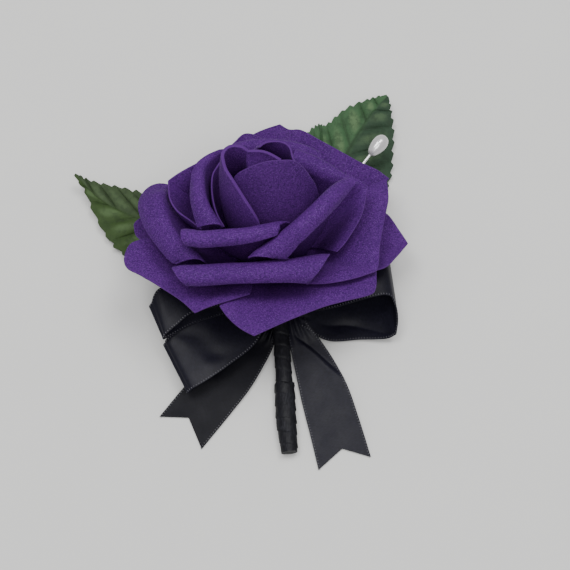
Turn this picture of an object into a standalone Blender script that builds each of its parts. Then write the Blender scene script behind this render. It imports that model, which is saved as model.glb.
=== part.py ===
"""A foam-rose boutonniere lying on a table: bloom, two leaves, taped stem, ribbon bow and pearl pin."""
import math

import bmesh
import bpy
import numpy as np
from mathutils import Matrix, Vector

MM = 0.001

# Driving dimensions, in millimetres and degrees
FOAM = 1.2
RIBBON = 0.6
LEAF = 0.7

# Where the rose sits: its base above the table, and how its axis leans off the vertical
ROSE_BASE = (-4.0, 6.0, 7.0)
ROSE_LEAN_BACK = 20.0
ROSE_LEAN_RIGHT = 3.0


def clear_scene():
    for thing in list(bpy.data.objects):
        bpy.data.objects.remove(thing)


def material(name, colour, roughness, metallic=0.0):
    made = bpy.data.materials.new(name)
    made.use_nodes = True
    shader = made.node_tree.nodes["Principled BSDF"]
    shader.inputs["Base Color"].default_value = (*colour, 1.0)
    shader.inputs["Roughness"].default_value = roughness
    shader.inputs["Metallic"].default_value = metallic
    made.diffuse_color = (*colour, 1.0)
    return made


def unit(vectors):
    return vectors / np.maximum(np.linalg.norm(vectors, axis=-1, keepdims=True), 1e-12)


def grid_normals(grid):
    across = np.gradient(grid, axis=1)
    along = np.gradient(grid, axis=0)
    return unit(np.cross(across, along))


def slab(name, grid, thickness, finish, frame=Matrix.Identity(4)):
    """A sheet of the given thickness about a grid of points, closed along its rim."""
    rows, columns = grid.shape[:2]
    normals = grid_normals(grid)
    front = grid + normals * thickness / 2
    back = grid - normals * thickness / 2
    points = np.concatenate([front.reshape(-1, 3), back.reshape(-1, 3)])
    half = rows * columns
    faces = []
    for r in range(rows - 1):
        for c in range(columns - 1):
            a = r * columns + c
            b, d, e = a + 1, a + columns, a + columns + 1
            faces += [(a, b, e), (a, e, d)]
            faces += [(half + a, half + e, half + b), (half + a, half + d, half + e)]
    rim = [c for c in range(columns)]
    rim += [r * columns + columns - 1 for r in range(1, rows)]
    rim += [(rows - 1) * columns + c for c in range(columns - 2, -1, -1)]
    rim += [r * columns for r in range(rows - 2, 0, -1)]
    for a, b in zip(rim, rim[1:] + rim[:1]):
        faces += [(a, half + a, half + b), (a, half + b, b)]
    return solid(name, points, faces, finish, frame)


def solid(name, points, faces, finish, frame=Matrix.Identity(4)):
    mesh = bpy.data.meshes.new(name)
    world = [frame @ Vector(p) for p in points]
    mesh.from_pydata([tuple(MM * x for x in p) for p in world], [], faces)
    shaping = bmesh.new()
    shaping.from_mesh(mesh)
    bmesh.ops.recalc_face_normals(shaping, faces=shaping.faces)
    if shaping.calc_volume(signed=True) < 0:
        bmesh.ops.reverse_faces(shaping, faces=shaping.faces)
    shaping.to_mesh(mesh)
    shaping.free()
    mesh.shade_smooth()
    mesh.set_sharp_from_angle(angle=math.radians(40))
    mesh.materials.append(finish)
    made = bpy.data.objects.new(name, mesh)
    bpy.context.scene.collection.objects.link(made)
    return made


def rose_frame():
    lean = Matrix.Rotation(-math.radians(ROSE_LEAN_BACK), 4, "X")
    lean = lean @ Matrix.Rotation(math.radians(ROSE_LEAN_RIGHT), 4, "Y")
    return Matrix.Translation(ROSE_BASE) @ lean


def around(azimuth, radius, height):
    a = math.radians(azimuth)
    return radius * math.cos(a), radius * math.sin(a), height


def through(points, corners, places):
    """Points read along a smooth line through the given ones, which turns sharply at corners."""
    stops = [0, *corners, len(points) - 1]
    found = np.zeros((len(places), points.shape[1]))
    for a, b in zip(stops, stops[1:]):
        run = points[a : b + 1]
        inside = (places >= a) & (places <= b)
        first, last = 2 * run[0] - run[1], 2 * run[-1] - run[-2]
        knots = np.vstack([first, run, last])
        local = np.clip(places[inside] - a, 0, b - a)
        i = np.minimum(local.astype(int), b - a - 1)
        t = (local - i)[:, None]
        p0, p1, p2, p3 = knots[i], knots[i + 1], knots[i + 2], knots[i + 3]
        bend = 2 * p0 - 5 * p1 + 4 * p2 - p3
        twist = 3 * p1 - p0 - 3 * p2 + p3
        found[inside] = 0.5 * (2 * p1 + (p2 - p0) * t + bend * t**2 + twist * t**3)
    return found


def petal_grid(rim, foot, lean=20.0, root_lean=30.0, roll=0.0, curl=3.0, slide=0.0, belly=0.4, corners=(),
               radial=False, split=2, blade_rows=5, lip_rows=4):
    """The middle surface of a petal: columns that rise from its foot to its rim and roll outwards there.

    rim lists (azimuth, radius, height) from one end to the other, counter-clockwise from above: the petal's
    edge or, where it rolls, the line the lip rolls about. foot is that list's match at the root, or (azimuth,
    azimuth, radius, radius, height). lean is the petal's angle off the axis at the rim, roll how far the lip
    turns over, curl the radius it turns at, slide how far each end of the lip draws in. corners are the rim
    points the edge turns sharply at.
    """
    count = len(rim)
    places = np.linspace(0, count - 1, (count - 1) * split + 1)
    points = np.array([around(*p) for p in rim])
    edge = through(points, corners, places)
    fine = np.linspace(0, count - 1, (count - 1) * 12 + 1)
    run = unit(np.gradient(through(points, corners, fine), axis=0))[np.round(places * 12).astype(int)]
    axis = np.array([0.0, 0.0, 1.0])
    if radial:
        ray = unit(edge * [1.0, 1.0, 0.0])
        run = unit(np.cross(axis, ray))
    out = unit(np.cross(run, axis))
    rise = unit(np.cross(out, run))
    across = places / (count - 1)

    def spread(value):
        value = np.atleast_1d(np.asarray(value, float))
        return np.interp(across, np.linspace(0, 1, len(value)), value)

    lean_at = np.radians(spread(lean))
    roll_at = np.radians(spread(roll))
    curl_at = spread(curl)
    slide_at = spread(slide)
    turned_over = np.clip(roll_at / (math.pi / 2), 0, 1) * curl_at
    tucked = rise * np.sin(lean_at)[:, None] - out * np.cos(lean_at)[:, None]
    edge = edge + tucked * turned_over[:, None]
    if isinstance(foot, list):
        feet = through(np.array([around(*p) for p in foot]), (), places * (len(foot) - 1) / (count - 1))
    else:
        start_az, end_az, start_r, end_r, root_h = foot
        root_az = np.radians(spread([start_az, end_az]))
        root_r = spread([start_r, end_r])
        feet = np.stack([root_r * np.cos(root_az), root_r * np.sin(root_az), np.full_like(root_r, root_h)],
                        axis=1)
    root_out = unit(feet * [1.0, 1.0, 0.0])
    root_slope = np.radians(spread(root_lean))[:, None]
    start_way = root_out * np.sin(root_slope) + axis * np.cos(root_slope)
    end_way = out * np.sin(lean_at)[:, None] + rise * np.cos(lean_at)[:, None]
    reach = np.linalg.norm(edge - feet, axis=1)[:, None] * belly
    rows = []
    for t in np.linspace(0, 1, blade_rows + 1):
        a, b = feet + start_way * reach, edge - end_way * reach
        rows.append((1 - t) ** 3 * feet + 3 * (1 - t) ** 2 * t * a + 3 * (1 - t) * t * t * b + t**3 * edge)
    side = 2 * across - 1
    if np.max(roll_at) > 0:
        for t in np.linspace(0, 1, lip_rows + 1)[1:]:
            turned = roll_at * t
            up = curl_at * (np.sin(lean_at + turned) - np.sin(lean_at))
            away = curl_at * (np.cos(lean_at) - np.cos(lean_at + turned))
            drawn = -np.sign(side) * np.abs(side) ** 2 * slide_at * t**1.5
            rows.append(edge + rise * up[:, None] + out * away[:, None] + run * drawn[:, None])
    return np.array(rows)


def make_petals(finish):
    frame = rose_frame()

    def petal(name, rim, foot, **shape):
        slab(name, petal_grid(rim, foot, **shape), FOAM, finish, frame)

    # The bud: a domed front petal, one spiralling in from the left and one round the back
    petal("bud_petal_front",
          [(203, 11.2, 30), (204, 11.8, 34), (204, 11.6, 37.5), (208, 8.6, 40.5), (238, 5.2, 43.5),
           (289, 5.1, 44.5), (316, 6.8, 43.5), (328, 9.0, 41.5), (332, 10.4, 38), (334, 11.9, 34),
           (335, 12.7, 29.5)],
          [(200, 9.0, 10.5), (236, 9.0, 10.5), (272, 9.5, 10.5), (309, 10.4, 10.5), (345, 10.8, 10.5)],
          lean=[-5, -12, -22, -36, -42, -45, -45, -40, -25, -10, -3], root_lean=[10, 9, 11, 14, 10],
          radial=True, split=1, blade_rows=7)
    petal("bud_petal_left",
          [(288, 1.6, 42.8), (190, 1.2, 43.2), (172, 3.6, 43.6), (176, 6.2, 43.9), (178, 9.3, 44.4),
           (178, 11.7, 44.5), (181, 13.9, 44.1), (188, 15.1, 43.2), (196, 14.8, 42), (207, 13.9, 40),
           (221, 13.5, 37), (236, 13.5, 33.5), (255, 13.9, 28.3)],
          [(285, 3.6, 32), (262, 3.8, 32), (220, 3.2, 32), (168, 4.5, 29), (142, 8.0, 19), (146, 8.9, 11),
           (158, 8.9, 10.5), (170, 9.2, 10.5), (184, 10.3, 10.5), (199, 10.7, 10.5), (215, 10.7, 10.5),
           (232, 10.7, 10.5), (250, 10.7, 10.5)],
          lean=[-20, -20, -20, -10, -5, -8, -12, -12, -12, -10, -8, -5, 0],
          root_lean=[-10, -10, -10, -5, 5, 12, 18, 24, 26, 24, 20, 17, 15], radial=True, split=1,
          blade_rows=7)
    petal("bud_petal_back",
          [(312, 8.0, 36), (325, 6.4, 40.5), (335, 4.2, 43), (23, 3.3, 43.5), (66, 3.5, 43.5),
           (105, 3.7, 43.5), (135, 4.8, 43), (155, 5.6, 42.2)],
          [(318, 9.0, 10.5), (336, 9.0, 10.5), (355, 9.0, 10.5), (25, 9.2, 10.5), (60, 9.6, 10.5),
           (95, 10.3, 10.5), (130, 10.7, 10.5), (160, 10.7, 10.5)],
          lean=[-35, -38, -42, -45, -48, -50, -50, -50], root_lean=[8, 8, 12, 18, 20, 20, 20, 22],
          radial=True, split=2, blade_rows=7, belly=0.39)
    petal("bud_petal_outer",
          [(140, 16.0, 35), (153, 16.6, 36), (163, 17.2, 35.5), (173, 17.8, 34), (189, 17.7, 32),
           (204, 17.6, 29.5), (217, 17.4, 27)],
          (134, 207, 12.4, 12.4, 11), lean=5, root_lean=20, split=1)

    # The inner ring of petals, whose lips are rolled tightly outwards
    petal("inner_petal_left",
          [(140, 19.4, 32), (159, 20.6, 32), (173, 21.6, 31.5), (190, 21.7, 30.5), (206, 21.6, 29),
           (221, 21.0, 27.3)],
          (138, 206, 9.8, 9.8, 7), lean=14, root_lean=57, roll=[50, 70, 110, 150, 150, 140], curl=[1.2, 1.3,
                                                                                                   1.3, 1.6],
          slide=2)
    petal("inner_petal_front",
          [(215, 31.0, 27.3), (224, 28.0, 28.2), (235, 23.4, 28.8), (248, 20.3, 29.4), (262, 17.8, 29.8),
           (281, 15.0, 29.9)],
          [(216, 9.8, 7), (226, 9.8, 7), (236, 9.8, 7), (246, 10.4, 7.8), (255, 11.6, 9.2),
           (263, 12.4, 10.4)],
          lean=[50, 42, 32, 20, 12, 8], root_lean=[48, 50, 52, 44, 30, 18],
          roll=[140, 150, 160, 160, 120, 20], curl=[2.1, 2.1, 2.1, 2.0, 1.8, 1.4], slide=[2, 2, 2, 6])
    petal("inner_petal_right",
          [(255, 23.0, 24.3), (266, 20.3, 26.5), (280, 18.4, 28.7), (291, 18.1, 31.5), (311, 17.3, 34.3),
           (334, 17.6, 35.3), (347, 18.9, 35.8)],
          (268, 337, 9.8, 9.8, 7), lean=[34, 24, 14, 12, 10, 10, 12], root_lean=[52, 52, 52, 54, 54, 54, 50],
          roll=[120, 140, 150, 150, 150, 140, 100], curl=[1.9, 2.1, 2.2, 2.2, 2.2, 2.1, 1.8], slide=[8, 4, 2,
                                                                                                     2])
    petal("inner_petal_back_right",
          [(326, 20.6, 16.5), (335, 21.7, 18.5), (354, 23.9, 22), (372, 26.0, 24.5), (382, 22.6, 25.5),
           (392, 19.8, 26), (405, 17.5, 26.5), (418, 15.5, 27), (430, 15.3, 27)],
          (350, 420, 9.8, 9.8, 7), lean=[38, 34, 30, 28, 22, 16, 12, 10], root_lean=[64, 60, 54, 50],
          roll=[0, 0, 0, 0, 40, 100, 120, 130, 130], curl=1.3, corners=(3,), radial=True)
    petal("inner_petal_back",
          [(49, 20.6, 24.8), (70, 19.3, 26), (92, 18.8, 26.5), (112, 19.2, 27), (130, 20.2, 27)],
          (74, 130, 9.8, 9.8, 7), lean=20, root_lean=52, roll=[110, 140, 140, 120], curl=1.8, slide=2)

    # The middle ring
    petal("middle_petal_left",
          [(162, 25.0, 14), (167, 30.5, 18.5), (173, 34.6, 20.8), (181, 34.5, 20.6), (194, 32.6, 20),
           (210.6, 31.1, 19.8), (219, 30.8, 19.8)],
          (167, 212, 8.6, 8.6, 3.8), lean=[60, 50, 45, 38, 32, 30, 30], root_lean=66,
          roll=[0, 10, 60, 130, 150, 150, 130], curl=[2.1], slide=[0, 0, 2, 4])
    petal("middle_petal_front",
          [(224, 34.9, 18.5), (230.5, 31.3, 18.8), (241, 27.2, 19.2), (254.7, 24.5, 19.6), (270.6, 23.2, 20),
           (287, 23.5, 20.5), (300, 23.7, 21)],
          (222, 296, 8.6, 8.6, 3.8), lean=[48, 40, 34, 28, 28, 30, 34], root_lean=68,
          roll=[140, 150, 150, 150, 150, 130, 60], curl=[2.7, 2.7, 2.7, 2.7, 2.5, 2.2], slide=[2, 2, 2, 5])
    petal("middle_petal_right",
          [(296, 24.3, 15), (312, 27.5, 15), (322.5, 30.2, 14.5), (331, 32.9, 14), (336, 32.2, 14.5),
           (346, 30.8, 15.5), (4.7 + 360, 31.6, 17), (14.4 + 360, 33.6, 18), (25.6 + 360, 35.4, 19)],
          (304, 378, 8.6, 8.6, 3.8), lean=60, root_lean=66, corners=(3,), radial=True)
    petal("middle_petal_back_right",
          [(26.5, 36.9, 17), (34, 35.4, 17.5), (42, 33.6, 18), (53.7, 32.5, 18.5), (66, 32.8, 19),
           (77, 34.8, 19), (83, 33.9, 19)],
          (24, 80, 8.6, 8.6, 3.8), lean=60, root_lean=60, radial=True)
    petal("middle_petal_back",
          [(86, 27.0, 20), (95, 28.0, 20), (102, 31.0, 20), (107, 31.6, 20), (113, 29.5, 20),
           (120, 27.5, 20)],
          (87, 116, 8.6, 8.6, 3.8), lean=55, root_lean=60, radial=True)
    petal("middle_petal_back_left",
          [(140, 22.8, 26.5), (156, 24.9, 27), (164, 27.9, 26), (169, 30.6, 24.5), (174, 30.0, 24),
           (181, 29.2, 23.5), (188, 27.4, 22.7), (196, 24.3, 22), (205, 22.0, 21.5)],
          (118, 156, 8.6, 8.6, 3.8), lean=[30, 30, 32, 34, 28, 22, 18, 14, 12], root_lean=68, corners=(3,),
          radial=True)

    # The outer ring, which lies open
    petal("outer_petal_left",
          [(165, 34.0, 10), (173, 37.8, 10.5), (176, 39.6, 10), (179, 39.6, 10), (184, 38.6, 10),
           (189, 35.0, 10)],
          (160, 184, 7.2, 7.2, 1), lean=72, root_lean=65, radial=True)
    petal("outer_petal_front_left",
          [(189, 36.4, 13), (191, 40.8, 12.5), (197, 43.3, 12), (202, 43.4, 12), (207, 41.0, 12),
           (216, 38.3, 12), (227, 36.9, 12), (236, 37.7, 12), (240, 33.7, 12.5), (247, 29.6, 13),
           (256, 25.7, 13)],
          (190, 234, 7.2, 7.2, 1), lean=62, root_lean=66, corners=(7,), radial=True)
    petal("outer_petal_front",
          [(243, 31.8, 11.5), (249, 34.2, 11.5), (256, 36.7, 11.5), (262.7, 38.5, 11.5), (276, 33.2, 11.5),
           (295, 30.7, 11.5), (308, 31.9, 11.5), (320, 35.0, 11.5), (325, 34.9, 11.5), (334, 32.3, 11.5)],
          (244, 322, 7.2, 7.2, 1), lean=62, root_lean=66, corners=(3,), radial=True)
    petal("outer_petal_right",
          [(334, 28.0, 8.5), (342, 33.3, 9), (349, 35.4, 9), (359, 38.9, 9), (6 + 360, 37.0, 9),
           (17 + 360, 34.7, 9.5), (22 + 360, 31.0, 9)],
          (332, 380, 7.2, 7.2, 1), lean=72, root_lean=65, corners=(3,), radial=True)
    petal("outer_petal_back_right",
          [(27, 31.0, 9), (36, 35.0, 8), (46, 37.0, 7.5), (58, 35.5, 8), (70, 32.0, 9)],
          (25, 70, 7.2, 7.2, 1), lean=75, root_lean=65, radial=True)
    petal("outer_petal_back",
          [(77, 38.0, 12), (80, 41.0, 12.5), (84, 41.1, 12.5), (87.6, 42.4, 13), (95, 39.7, 13),
           (101, 36.9, 13.5), (110, 33.0, 13.5)],
          (75, 110, 7.2, 7.2, 1), lean=68, root_lean=60, corners=(3,), radial=True)
    petal("outer_petal_back_left",
          [(115, 32.0, 5.6), (126, 35.0, 3.0), (137, 36.0, 1.4), (148, 34.0, 3.4), (156, 31.0, 6.2)],
          (114, 156, 7.2, 7.2, 1), lean=82, root_lean=65, radial=True)


def turned(name, profile, finish, frame, sides=24):
    """A solid turned about the frame's z axis, from (radius, height) points; both ends lie on the axis."""
    inner = profile[1:-1]
    angles = np.arange(sides) * 2 * math.pi / sides
    points = [(r * math.cos(a), r * math.sin(a), h) for r, h in inner for a in angles]
    points += [(0, 0, profile[0][1]), (0, 0, profile[-1][1])]
    first, last = len(points) - 2, len(points) - 1
    top = (len(inner) - 1) * sides
    faces = []
    for k in range(sides):
        m = (k + 1) % sides
        faces += [(first, m, k), (last, top + k, top + m)]
        for row in range(len(inner) - 1):
            a, b = row * sides + k, row * sides + m
            faces += [(a, b, b + sides), (a, b + sides, a + sides)]
    return solid(name, points, faces, finish, frame)


def tube(name, line, radii, finish, sides=16, steps=5, floor=None):
    """A solid rod along a smooth line, its underside cut flat at the floor's height where one is given."""
    line = np.asarray(line, float)
    places = np.linspace(0, len(line) - 1, (len(line) - 1) * steps + 1)
    centres = through(line, (), places)
    radius = np.interp(places, np.linspace(0, len(line) - 1, len(radii)), radii)
    ways = unit(np.gradient(centres, axis=0))
    side = unit(np.cross(ways, [0.0, 0.0, 1.0]))
    up = unit(np.cross(side, ways))
    points = []
    for c, r, x, y in zip(centres, radius, side, up):
        for a in (np.arange(sides) + 0.5) * 2 * math.pi / sides:
            points.append(c + r * (math.cos(a) * x + math.sin(a) * y))
    points += [centres[0], centres[-1]]
    points = np.array(points)
    if floor is not None:
        points[:, 2] = np.maximum(points[:, 2], floor)
    first, last = len(points) - 2, len(points) - 1
    top = (len(centres) - 1) * sides
    faces = []
    for k in range(sides):
        m = (k + 1) % sides
        faces += [(first, m, k), (last, top + k, top + m)]
        for row in range(len(centres) - 1):
            a, b = row * sides + k, row * sides + m
            faces += [(a, b, b + sides), (a, b + sides, a + sides)]
    return solid(name, points, faces, finish)


def leaf(name, midrib, widths, finish, tooth=0.12, fold=0.12):
    """A toothed blade: midrib points, and the half width on either side of each."""
    midrib = np.asarray(midrib, float)
    steps = 2
    places = np.linspace(0, len(midrib) - 1, (len(midrib) - 1) * steps + 1)
    line = through(midrib, (), places)
    ways = unit(np.gradient(line, axis=0))
    side = unit(np.cross(ways, [0.0, 0.0, 1.0]))
    left = np.interp(places, np.arange(len(midrib)), [w[0] for w in widths])
    right = np.interp(places, np.arange(len(midrib)), [w[1] for w in widths])
    rows = []
    for i, (c, x) in enumerate(zip(line, side)):
        toothed = 1 - tooth * (i % 2)
        row = []
        for u in (-1.0, -0.5, 0.0, 0.5, 1.0):
            wide = (left[i] if u < 0 else right[i]) * (toothed if abs(u) == 1 else 1)
            row.append(c + x * u * wide + np.array([0, 0, fold * abs(u) * wide]))
        rows.append(row)
    return slab(name, np.array(rows), LEAF, finish)


def band(name, edge_a, edge_b, finish, split=3, columns=4, crown=0.0, notch=None, thickness=RIBBON):
    """A ribbon between two edge lines of matching points; notch is the point its last end is cut back to."""
    edge_a, edge_b = np.asarray(edge_a, float), np.asarray(edge_b, float)
    places = np.linspace(0, len(edge_a) - 1, (len(edge_a) - 1) * split + 1)
    a, b = through(edge_a, (), places), through(edge_b, (), places)
    u = np.linspace(0, 1, columns + 1)[None, :, None]
    grid = a[:, None, :] * (1 - u) + b[:, None, :] * u
    middle = 4 * u * (1 - u)
    grid = grid + grid_normals(grid) * middle * crown
    if notch is not None:
        back = np.asarray(notch) - (edge_a[-1] + edge_b[-1]) / 2
        late = np.clip((places / (len(edge_a) - 1) - 0.6) / 0.4, 0, 1)[:, None, None]
        grid = grid + back * (1 - np.abs(2 * u - 1)) * late
    return slab(name, grid, thickness, finish)


def make_core(finish):
    turned("bud_core", [(0, -0.4), (4.6, -0.4), (5.6, 0), (6.6, 1.5), (8.0, 4.3), (9.0, 7.4), (9.2, 9.8),
                        (7.6, 10.2), (6.8, 17), (4.6, 24), (3.0, 28), (0, 29.2)], finish, rose_frame())


def make_stem(tape, wire):
    tube("stem_wire", [(-4.0, 5.9, 6.1), (-3.95, 4.6, 4.6), (-3.6, 2.0, 3.8), (-3.1, -0.6, 3.5)], [1.1, 1.1],
         wire, sides=12, steps=3)
    tube("stem_tape",
         [(-2.95, -1.2, 3.4), (-2.2, -8.0, 3.3), (-1.6, -14.0, 3.1), (-1.1, -20.0, 2.8), (-0.6, -30.6, 2.3),
          (-0.3, -31.6, 2.15), (0.5, -42.0, 2.1), (1.3, -50.8, 2.1)],
         [2.1, 2.15, 2.15, 2.1, 2.1, 2.6, 2.6, 2.5], tape, sides=16, steps=3, floor=0.0)


def make_leaves(finish):
    leaf("leaf_right",
         [(-1.7, 4.2, 3.0), (1.5, 10.5, 1.8), (4.5, 17.0, 1.0), (8.5, 25.0, 0.5), (12.5, 32.0, 0.45),
          (17.0, 39.0, 0.9), (21.2, 46.5, 1.6), (25.2, 53.0, 2.5), (28.6, 57.2, 3.6), (31.3, 59.8, 4.6)],
         [(0.6, 0.6), (0.7, 0.7), (4.0, 3.5), (9.5, 8.5), (12.8, 12.2), (13.6, 13.0), (12.2, 11.6),
          (8.0, 7.0), (4.2, 3.4), (0.5, 0.5)], finish)
    leaf("leaf_left",
         [(-5.5, -2.4, 3.4), (-13.0, -2.4, 2.6), (-21.0, 0.0, 2.2), (-29.0, 4.5, 2.0), (-36.0, 9.8, 2.2),
          (-42.5, 15.0, 2.8), (-49.5, 20.3, 3.5), (-55.5, 25.5, 4.4), (-59.5, 29.5, 5.2), (-62.7, 32.9, 6.0)],
         [(0.6, 0.6), (0.7, 0.7), (4.0, 4.0), (9.0, 9.0), (12.0, 11.5), (12.5, 11.5), (10.2, 8.6), (6.6, 4.6),
          (3.4, 2.0), (0.5, 0.5)], finish)


def make_bow(satin):
    band("bow_tail_left",
         [(-4.7, -11.5, 3.8), (-9.5, -15.5, 1.7), (-17.5, -21.5, 1.1), (-28.9, -31.0, 0.8),
          (-35.9, -40.1, 0.5)],
         [(-4.4, -14.5, 3.2), (-4.6, -19.5, 1.8), (-8.6, -28.6, 1.1), (-16.1, -38.9, 0.8),
          (-23.5, -49.6, 0.5)],
         satin, notch=(-27.3, -40.1, 0.5))
    band("bow_tail_right",
         [(1.6, -11.0, 4.6), (2.6, -16.5, 3.0), (4.6, -25.7, 2.0), (6.3, -36.3, 1.4), (9.5, -55.7, 0.5)],
         [(3.2, -9.0, 4.8), (8.4, -15.5, 3.0), (13.8, -24.3, 1.8), (18.8, -33.0, 1.2), (24.3, -51.6, 0.5)],
         satin, notch=(15.9, -49.2, 0.5))
    band("bow_loop_left_upper",
         [(-5.2, -9.6, 10.8), (-15.0, -10.5, 13.0), (-25.5, -13.2, 13.6), (-34.2, -20.2, 11.2),
          (-34.6, -20.6, 9.6), (-26.0, -15.0, 8.9), (-15.0, -11.5, 8.9), (-5.2, -9.6, 9.2)],
         [(-5.2, -7.0, 10.8), (-13.0, -4.0, 12.0), (-24.0, -0.5, 12.8), (-38.0, -6.6, 13.2),
          (-38.6, -7.0, 11.4), (-25.0, -1.0, 9.6), (-13.5, -4.0, 9.0), (-5.2, -7.0, 9.2)],
         satin, crown=0.0)
    band("bow_loop_left_lower",
         [(-5.2, -10.4, 7.7), (-14.0, -10.5, 7.9), (-24.5, -12.2, 7.7), (-33.6, -18.6, 6.4),
          (-34.2, -19.2, 4.2), (-24.5, -13.6, 2.6), (-14.0, -12.2, 3.2), (-5.2, -11.2, 5.6)],
         [(-5.0, -12.6, 7.4), (-9.4, -20.0, 7.7), (-17.0, -25.4, 7.5), (-26.2, -33.3, 6.2),
          (-26.8, -33.9, 4.0), (-17.0, -26.0, 2.6), (-10.0, -20.0, 3.2), (-5.0, -12.6, 5.2)],
         satin, crown=0.0)
    band("bow_loop_right",
         [(1.6, -11.4, 9.0), (12.0, -11.5, 11.4), (24.0, -8.2, 12.0), (30.4, -7.6, 10.6), (32.0, -10.4, 7.5),
          (32.2, -14.3, 3.0), (24.5, -15.6, 1.6), (13.0, -14.0, 2.2), (3.6, -11.6, 6.2)],
         [(1.6, -8.4, 9.0), (11.0, -3.0, 10.8), (22.0, 2.5, 10.9), (28.6, 5.5, 10.0), (30.6, 4.5, 6.8),
          (30.2, 1.4, 2.4), (24.0, -0.4, 0.8), (13.5, -4.0, 1.6), (3.6, -8.6, 6.2)],
         satin, crown=0.0)


def make_knot(satin):
    frame = Matrix.Translation((-1.7, -10.0, 8.5)) @ Matrix.Rotation(math.pi / 2, 4, "Y")
    turned("bow_knot", [(0, -2.6), (2.0, -2.6), (2.5, -1.8), (2.8, 0), (2.5, 1.8), (2.0, 2.6), (0, 2.6)],
           satin, frame, 16)


def make_pin(steel, pearl):
    tip, neck = Vector((7.5, 14.6, 9.0)), Vector((25.1, 37.2, 10.3))
    way = Vector((30.6, 43.8, 11.0)) - neck
    way.normalize()
    aim = way.to_track_quat("Z", "Y").to_matrix().to_4x4()
    turned("pin_head", [(0, 0), (0.8, 0.1), (1.15, 0.9), (1.8, 2.6), (2.3, 4.4), (2.45, 5.8), (2.2, 7.3),
                        (1.3, 8.4), (0, 8.8)], pearl, Matrix.Translation(neck) @ aim, 20)
    start = neck - (neck - tip).normalized() * 0.3
    tube("pin_shaft", [tip, (tip + start) / 2, start], [0.25, 0.4, 0.4], steel, sides=8, steps=1)


def rest_on_origin():
    """Moves everything so that the underside's middle is the origin."""
    nodes = [o for o in bpy.data.objects if o.type == "MESH"]
    points = np.array([o.matrix_world @ v.co for o in nodes for v in o.data.vertices])
    low, high = points.min(axis=0), points.max(axis=0)
    shift = Matrix.Translation((-(low[0] + high[0]) / 2, -(low[1] + high[1]) / 2, -low[2]))
    for node in nodes:
        node.data.transform(shift)


def main():
    clear_scene()
    foam = material("purple_foam", (0.075, 0.03, 0.16), 0.9)
    satin = material("black_satin", (0.012, 0.012, 0.015), 0.35)
    tape = material("black_tape", (0.02, 0.02, 0.022), 0.7)
    wire = material("green_wire", (0.03, 0.08, 0.03), 0.5)
    green = material("leaf_green", (0.06, 0.11, 0.04), 0.7)
    steel = material("pin_steel", (0.6, 0.6, 0.6), 0.3, 1.0)
    pearl = material("pearl_white", (0.85, 0.84, 0.82), 0.25)
    make_petals(foam)
    make_core(foam)
    make_stem(tape, wire)
    make_leaves(green)
    make_bow(satin)
    make_knot(satin)
    make_pin(steel, pearl)
    rest_on_origin()


main()
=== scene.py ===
import itertools
import math

import bpy
import numpy as np
from mathutils import Matrix, Vector


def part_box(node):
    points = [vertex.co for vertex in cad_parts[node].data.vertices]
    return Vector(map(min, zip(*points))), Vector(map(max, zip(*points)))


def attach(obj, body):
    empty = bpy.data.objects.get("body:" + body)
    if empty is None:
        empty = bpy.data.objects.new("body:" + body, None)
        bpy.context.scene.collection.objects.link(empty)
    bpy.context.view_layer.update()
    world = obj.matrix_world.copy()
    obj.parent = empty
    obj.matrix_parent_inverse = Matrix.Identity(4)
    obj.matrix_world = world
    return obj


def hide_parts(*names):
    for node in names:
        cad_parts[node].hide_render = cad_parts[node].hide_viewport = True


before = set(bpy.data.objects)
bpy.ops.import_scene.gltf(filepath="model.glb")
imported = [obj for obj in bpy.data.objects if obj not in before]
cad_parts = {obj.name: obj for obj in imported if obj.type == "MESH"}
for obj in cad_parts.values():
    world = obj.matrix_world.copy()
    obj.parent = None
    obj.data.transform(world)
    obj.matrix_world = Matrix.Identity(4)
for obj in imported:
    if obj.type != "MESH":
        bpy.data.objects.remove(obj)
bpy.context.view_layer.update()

# The core of the rose: a cone moulded in foam on the end of the stem wire, to which every petal is glued. It
# shows only from below and a little between the petals. Lengths here are in millimetres from the middle of
# the bench, and the bow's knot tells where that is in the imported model.
MM = 0.001
KNOT_MIDDLE = Vector((-1.7, -10.0, 8.5))
knot_low, knot_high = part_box("bow_knot")
BENCH = Matrix.Translation(Vector((knot_low + knot_high) / 2) - KNOT_MIDDLE * MM)
ROSE_BASE = (-4.0, 6.0, 7.0)
ROSE_LEAN_BACK = 20.0
ROSE_LEAN_RIGHT = 3.0
ROSE = Matrix.Translation(ROSE_BASE) @ Matrix.Rotation(-math.radians(ROSE_LEAN_BACK), 4, "X")
ROSE = ROSE @ Matrix.Rotation(math.radians(ROSE_LEAN_RIGHT), 4, "Y")
CORE_OUTLINE = [(0, -0.4), (4.6, -0.4), (5.6, 0), (6.6, 1.5), (8.0, 4.3), (9.0, 7.4), (9.2, 9.8), (7.6, 10.2),
                (6.8, 17), (5.4, 24), (4.6, 30), (3.4, 34), (1.8, 36), (0, 36.6)]
FOAM_PURPLE = (0.049, 0.0062, 0.108)
FOAM_FADED = (0.060, 0.0088, 0.126)
FOAM_PIT = (0.023, 0.003, 0.062)
FOAM_FLECK_GLINT = (0.1, 0.029, 0.19)
FOAM_CUT = (0.06, 0.0125, 0.122)


def unit(vectors):
    return vectors / np.maximum(np.linalg.norm(vectors, axis=-1, keepdims=True), 1e-12)


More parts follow.
